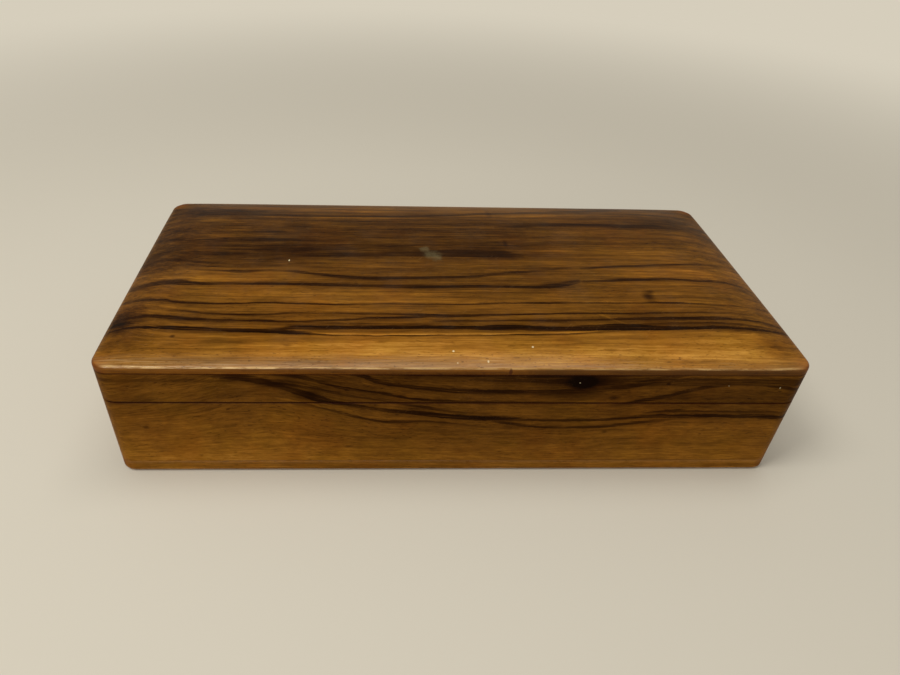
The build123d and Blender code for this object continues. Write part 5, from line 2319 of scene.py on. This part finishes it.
@dataclass(frozen=True)
class HingeScrews:
    """Countersunk, slotted brass screws; all sizes in millimetres.

    Attributes:
        head: Radius of the head.
        shank: Radius of the shank.
        sink: Depth of the head's cone.
        length: Length of the screw.
        slot: Width and depth of the slot.
        sides: Sides of the round.
        end: From the end of the hinges' outer leaf to its first screw.
        apart: From that screw to the next.
    """

    head: float = 1.17
    shank: float = 0.62
    sink: float = 0.55
    length: float = 5.8
    slot: float = 0.34
    sides: int = 40
    end: float = 1.2
    apart: float = 14.0

    def _tree(self) -> NodeTree:
        """Build the tree: one screw, instanced at each point with its slot turned at random.

        Returns:
            The tree.
        """
        inputs = {
            "Head": self.head * MM,
            "Shank": self.shank * MM,
            "Sink": self.sink * MM,
            "Length": self.length * MM,
            "Slot": self.slot * MM,
            "Sides": self.sides,
            "Upside down": 0.0,
            "Seed": 4,
        }
        graph = GeometryGraph("Slotted screws", inputs)
        head, shank, sink, length, slot = (graph[name] for name in ("Head", "Shank", "Sink", "Length", "Slot"))
        radii = {"Radius Top": head, "Radius Bottom": shank}
        cone = graph.made("GeometryNodeMeshCone", {"Vertices": graph["Sides"], **radii, "Depth": sink})
        sunk = graph.moved(cone, Offset=graph.joined(0.0, 0.0, sink * -1.0))
        sizes = {"Vertices": 16, "Radius": shank * 0.98, "Depth": length - sink}
        body = graph.made("GeometryNodeMeshCylinder", sizes)
        drop = (length + sink) * -0.5 + slot * 0.1
        dropped = graph.moved(body, Offset=graph.joined(0.0, 0.0, drop))
        cutter = graph.made("GeometryNodeMeshCube", {"Size": graph.joined(head * 3.0, slot, slot * 2.0)})
        pair = {"Mesh 1": sunk, "Mesh 2": cutter}
        cut = graph.made("GeometryNodeMeshBoolean", pair, operation="DIFFERENCE")
        screw = graph.both(cut, dropped)
        turn = graph.drawn(0.0, math.pi)
        turned = graph.joined(graph["Upside down"], 0.0, turn)
        laid = graph.laid(graph["Geometry"], screw, Rotation=turned)
        return graph.closed(laid)

    def build(self, finishes: Finishes) -> None:
        """Build the screws of both bodies.

        Args:
            finishes: The finishes.
        """
        tree = self._tree()
        for body, upside_down, seed in (("base", 0.0, 7), ("lid", math.pi, 4)):
            node = f"{body}_hinge_screws"
            low, high = span(node)
            level = low.z if upside_down else high.z
            edge = high.x - self.end
            offsets = (edge, edge - self.apart)
            places = [(side * offset, (low.y + high.y) / 2, level) for side in (-1, 1) for offset in offsets]
            spots = new_object(f"slotted_{node}", places)
            values = {"Upside down": upside_down, "Seed": seed, "Material": finishes.screw}
            screws = grown(f"slotted_{node}", tree, values, spots)
            turned_outwards(screws)
            Piece(body, "screw_brass", 30.0, node).hand_over(screws, finishes.screw)


# ---- Studio ----


@dataclass(frozen=True)
class Studio:
    """Floor, lamps, world and camera.

    Attributes:
        eye: Where the camera stands, in metres.
        heading: Its yaw, downward pitch and roll, in degrees.
        lens: Focal length in millimetres, on a sensor 36 mm wide.
        shift: Sideways shift of the frame.
        floor: Colour of the floor.
        world: Colour of the surrounding light.
        backdrop: Colour seen all around.
        fill: Strength of the surrounding light.
        lamps: Each lamp's name, place, size and power.
    """

    eye: Triple = (-0.030671, -0.26242, 0.219368)
    heading: Triple = (2.965, 37.298, 2.108)
    lens: float = 26.615
    shift: float = 0.0483
    floor: Colour = paint(206, 198, 180)
    world: Colour = paint(250, 248, 244)
    backdrop: Colour = paint(214, 206, 188)
    fill: float = 0.30
    lamps: tuple[tuple[str, Triple, tuple[float, float], float], ...] = (
        ("key_light", (-0.52, -0.24, 0.95), (0.36, 0.36), 4.3),
        ("top_light", (-0.02, 0.05, 1.05), (0.9, 0.36), 4.0),
        ("front_light", (-0.20, -1.10, 0.70), (0.7, 0.5), 3.5),
    )

    def build(self) -> None:
        """Build the studio."""
        self._floor()
        self._world()
        for name, place, size, power in self.lamps:
            self._lamp(name, place, size, power)
        self._camera()

    def _camera(self) -> None:
        """Place the camera."""
        yaw, pitch, roll = (math.radians(angle) for angle in self.heading)
        ahead = Vector((math.sin(yaw) * math.cos(pitch), math.cos(yaw) * math.cos(pitch), -math.sin(pitch)))
        level = Vector((math.cos(yaw), -math.sin(yaw), 0.0))
        upright = level.cross(ahead)
        right = level * math.cos(roll) + upright * math.sin(roll)
        above = upright * math.cos(roll) - level * math.sin(roll)
        data = bpy.data.cameras.new("camera")
        data.sensor_width = 36.0
        data.lens = self.lens
        data.shift_x = self.shift
        data.clip_start = 0.01
        camera = bpy.data.objects.new("camera", data)
        axes = Matrix((right, above, -ahead)).transposed()
        camera.matrix_world = Matrix.Translation(self.eye) @ axes.to_4x4()
        bpy.context.scene.collection.objects.link(camera)
        bpy.context.scene.camera = camera
        bpy.context.scene.view_settings.view_transform = "Standard"

    def _floor(self) -> None:
        """Lay the floor, which fades into the backdrop far from the box."""
        reach, level = 3000.0, -0.05
        corners = [(x * reach, y * reach, level) for x, y in ((-1, -1), (1, -1), (1, 1), (-1, 1))]
        floor = new_object("floor", corners, [(0, 1, 2, 3)])
        material = bpy.data.materials.new("floor")
        material.use_nodes = True
        shader = material.node_tree.nodes["Principled BSDF"]
        shader.inputs["Base Color"].default_value = self.floor
        shader.inputs["Roughness"].default_value = 0.75
        shader.inputs["Specular IOR Level"].default_value = 0.2
        graph = Graph(material.node_tree)
        place = graph.made("ShaderNodeTexCoord", output="Object")
        glow = graph.put("ShaderNodeEmission", {"Color": self.backdrop, "Strength": 1.0})
        self._show_backdrop(graph, shader, glow, graph.ease(graph.length(place), 0.30, 0.90))
        dress(floor, material)

    def _world(self) -> None:
        """Light the surroundings, with the plain backdrop where the camera or a reflection sees them."""
        world = bpy.data.worlds.new("world")
        world.use_nodes = True
        bpy.context.scene.world = world
        graph = Graph(world.node_tree)
        lit = world.node_tree.nodes["Background"]
        lit.inputs["Color"].default_value = self.world
        lit.inputs["Strength"].default_value = self.fill
        shown = graph.put("ShaderNodeBackground", {"Color": self.backdrop, "Strength": 1.0})
        self._show_backdrop(graph, lit, shown, 1.0)

    @staticmethod
    def _show_backdrop(graph: Graph, lit: Node, shown: Node, share: Wire | float) -> None:
        """Put one shader over another where the camera, a reflection or a lens sees it.

        Args:
            graph: The node tree.
            lit: The shader that lights and shades.
            shown: The shader that is seen.
            share: How much of it is seen here.
        """
        path = graph.put("ShaderNodeLightPath")
        rays = ("Is Camera Ray", "Is Glossy Ray", "Is Transmission Ray")
        seen = functools.reduce(Wire.most, [graph.wire(path, ray) for ray in rays])
        both = {0: seen * share, 1: graph.wire(lit), 2: graph.wire(shown)}
        mixed = graph.made("ShaderNodeMixShader", both)
        out = next(node for node in graph.tree.nodes if node.bl_idname.startswith("ShaderNodeOutput"))
        graph.tree.links.new(mixed.socket, out.inputs["Surface"])

    @staticmethod
    def _lamp(name: str, place: Triple, size: tuple[float, float], power: float) -> None:
        """Hang a soft rectangular lamp that points at the box.

        Args:
            name: The lamp's name.
            place: Where it hangs, in metres.
            size: Its length and width.
            power: Its power in watts.
        """
        data = bpy.data.lights.new(name, "AREA")
        data.shape = "RECTANGLE"
        data.size, data.size_y = size
        data.energy = power
        lamp = bpy.data.objects.new(name, data)
        lamp.location = place
        aim = Vector((0.0, 0.0, 0.03)) - Vector(place)
        lamp.rotation_euler = aim.to_track_quat("-Z", "Y").to_euler()
        bpy.context.scene.collection.objects.link(lamp)


# ---- Everything together ----


def dress_nodes(finishes: Finishes) -> None:
    """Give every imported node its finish.

    Args:
        finishes: The finishes.
    """
    for name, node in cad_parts.items():
        material = finishes.of_node(name)
        dress(node, material)
        LOG.info("finish %s on %s", material.name, name)


def main() -> None:
    """Build the looks in order."""
    logging.basicConfig(level=logging.INFO, format="%(name)s: %(message)s")
    finishes = Finishes()
    dress_nodes(finishes)
    for part in (LidBoard(), FloorPad(), LidPad(), WallPanels(), HingeScrews()):
        part.build(finishes)
    Studio().build()
    bpy.context.view_layer.update()


if __name__ == "__main__":
    main()
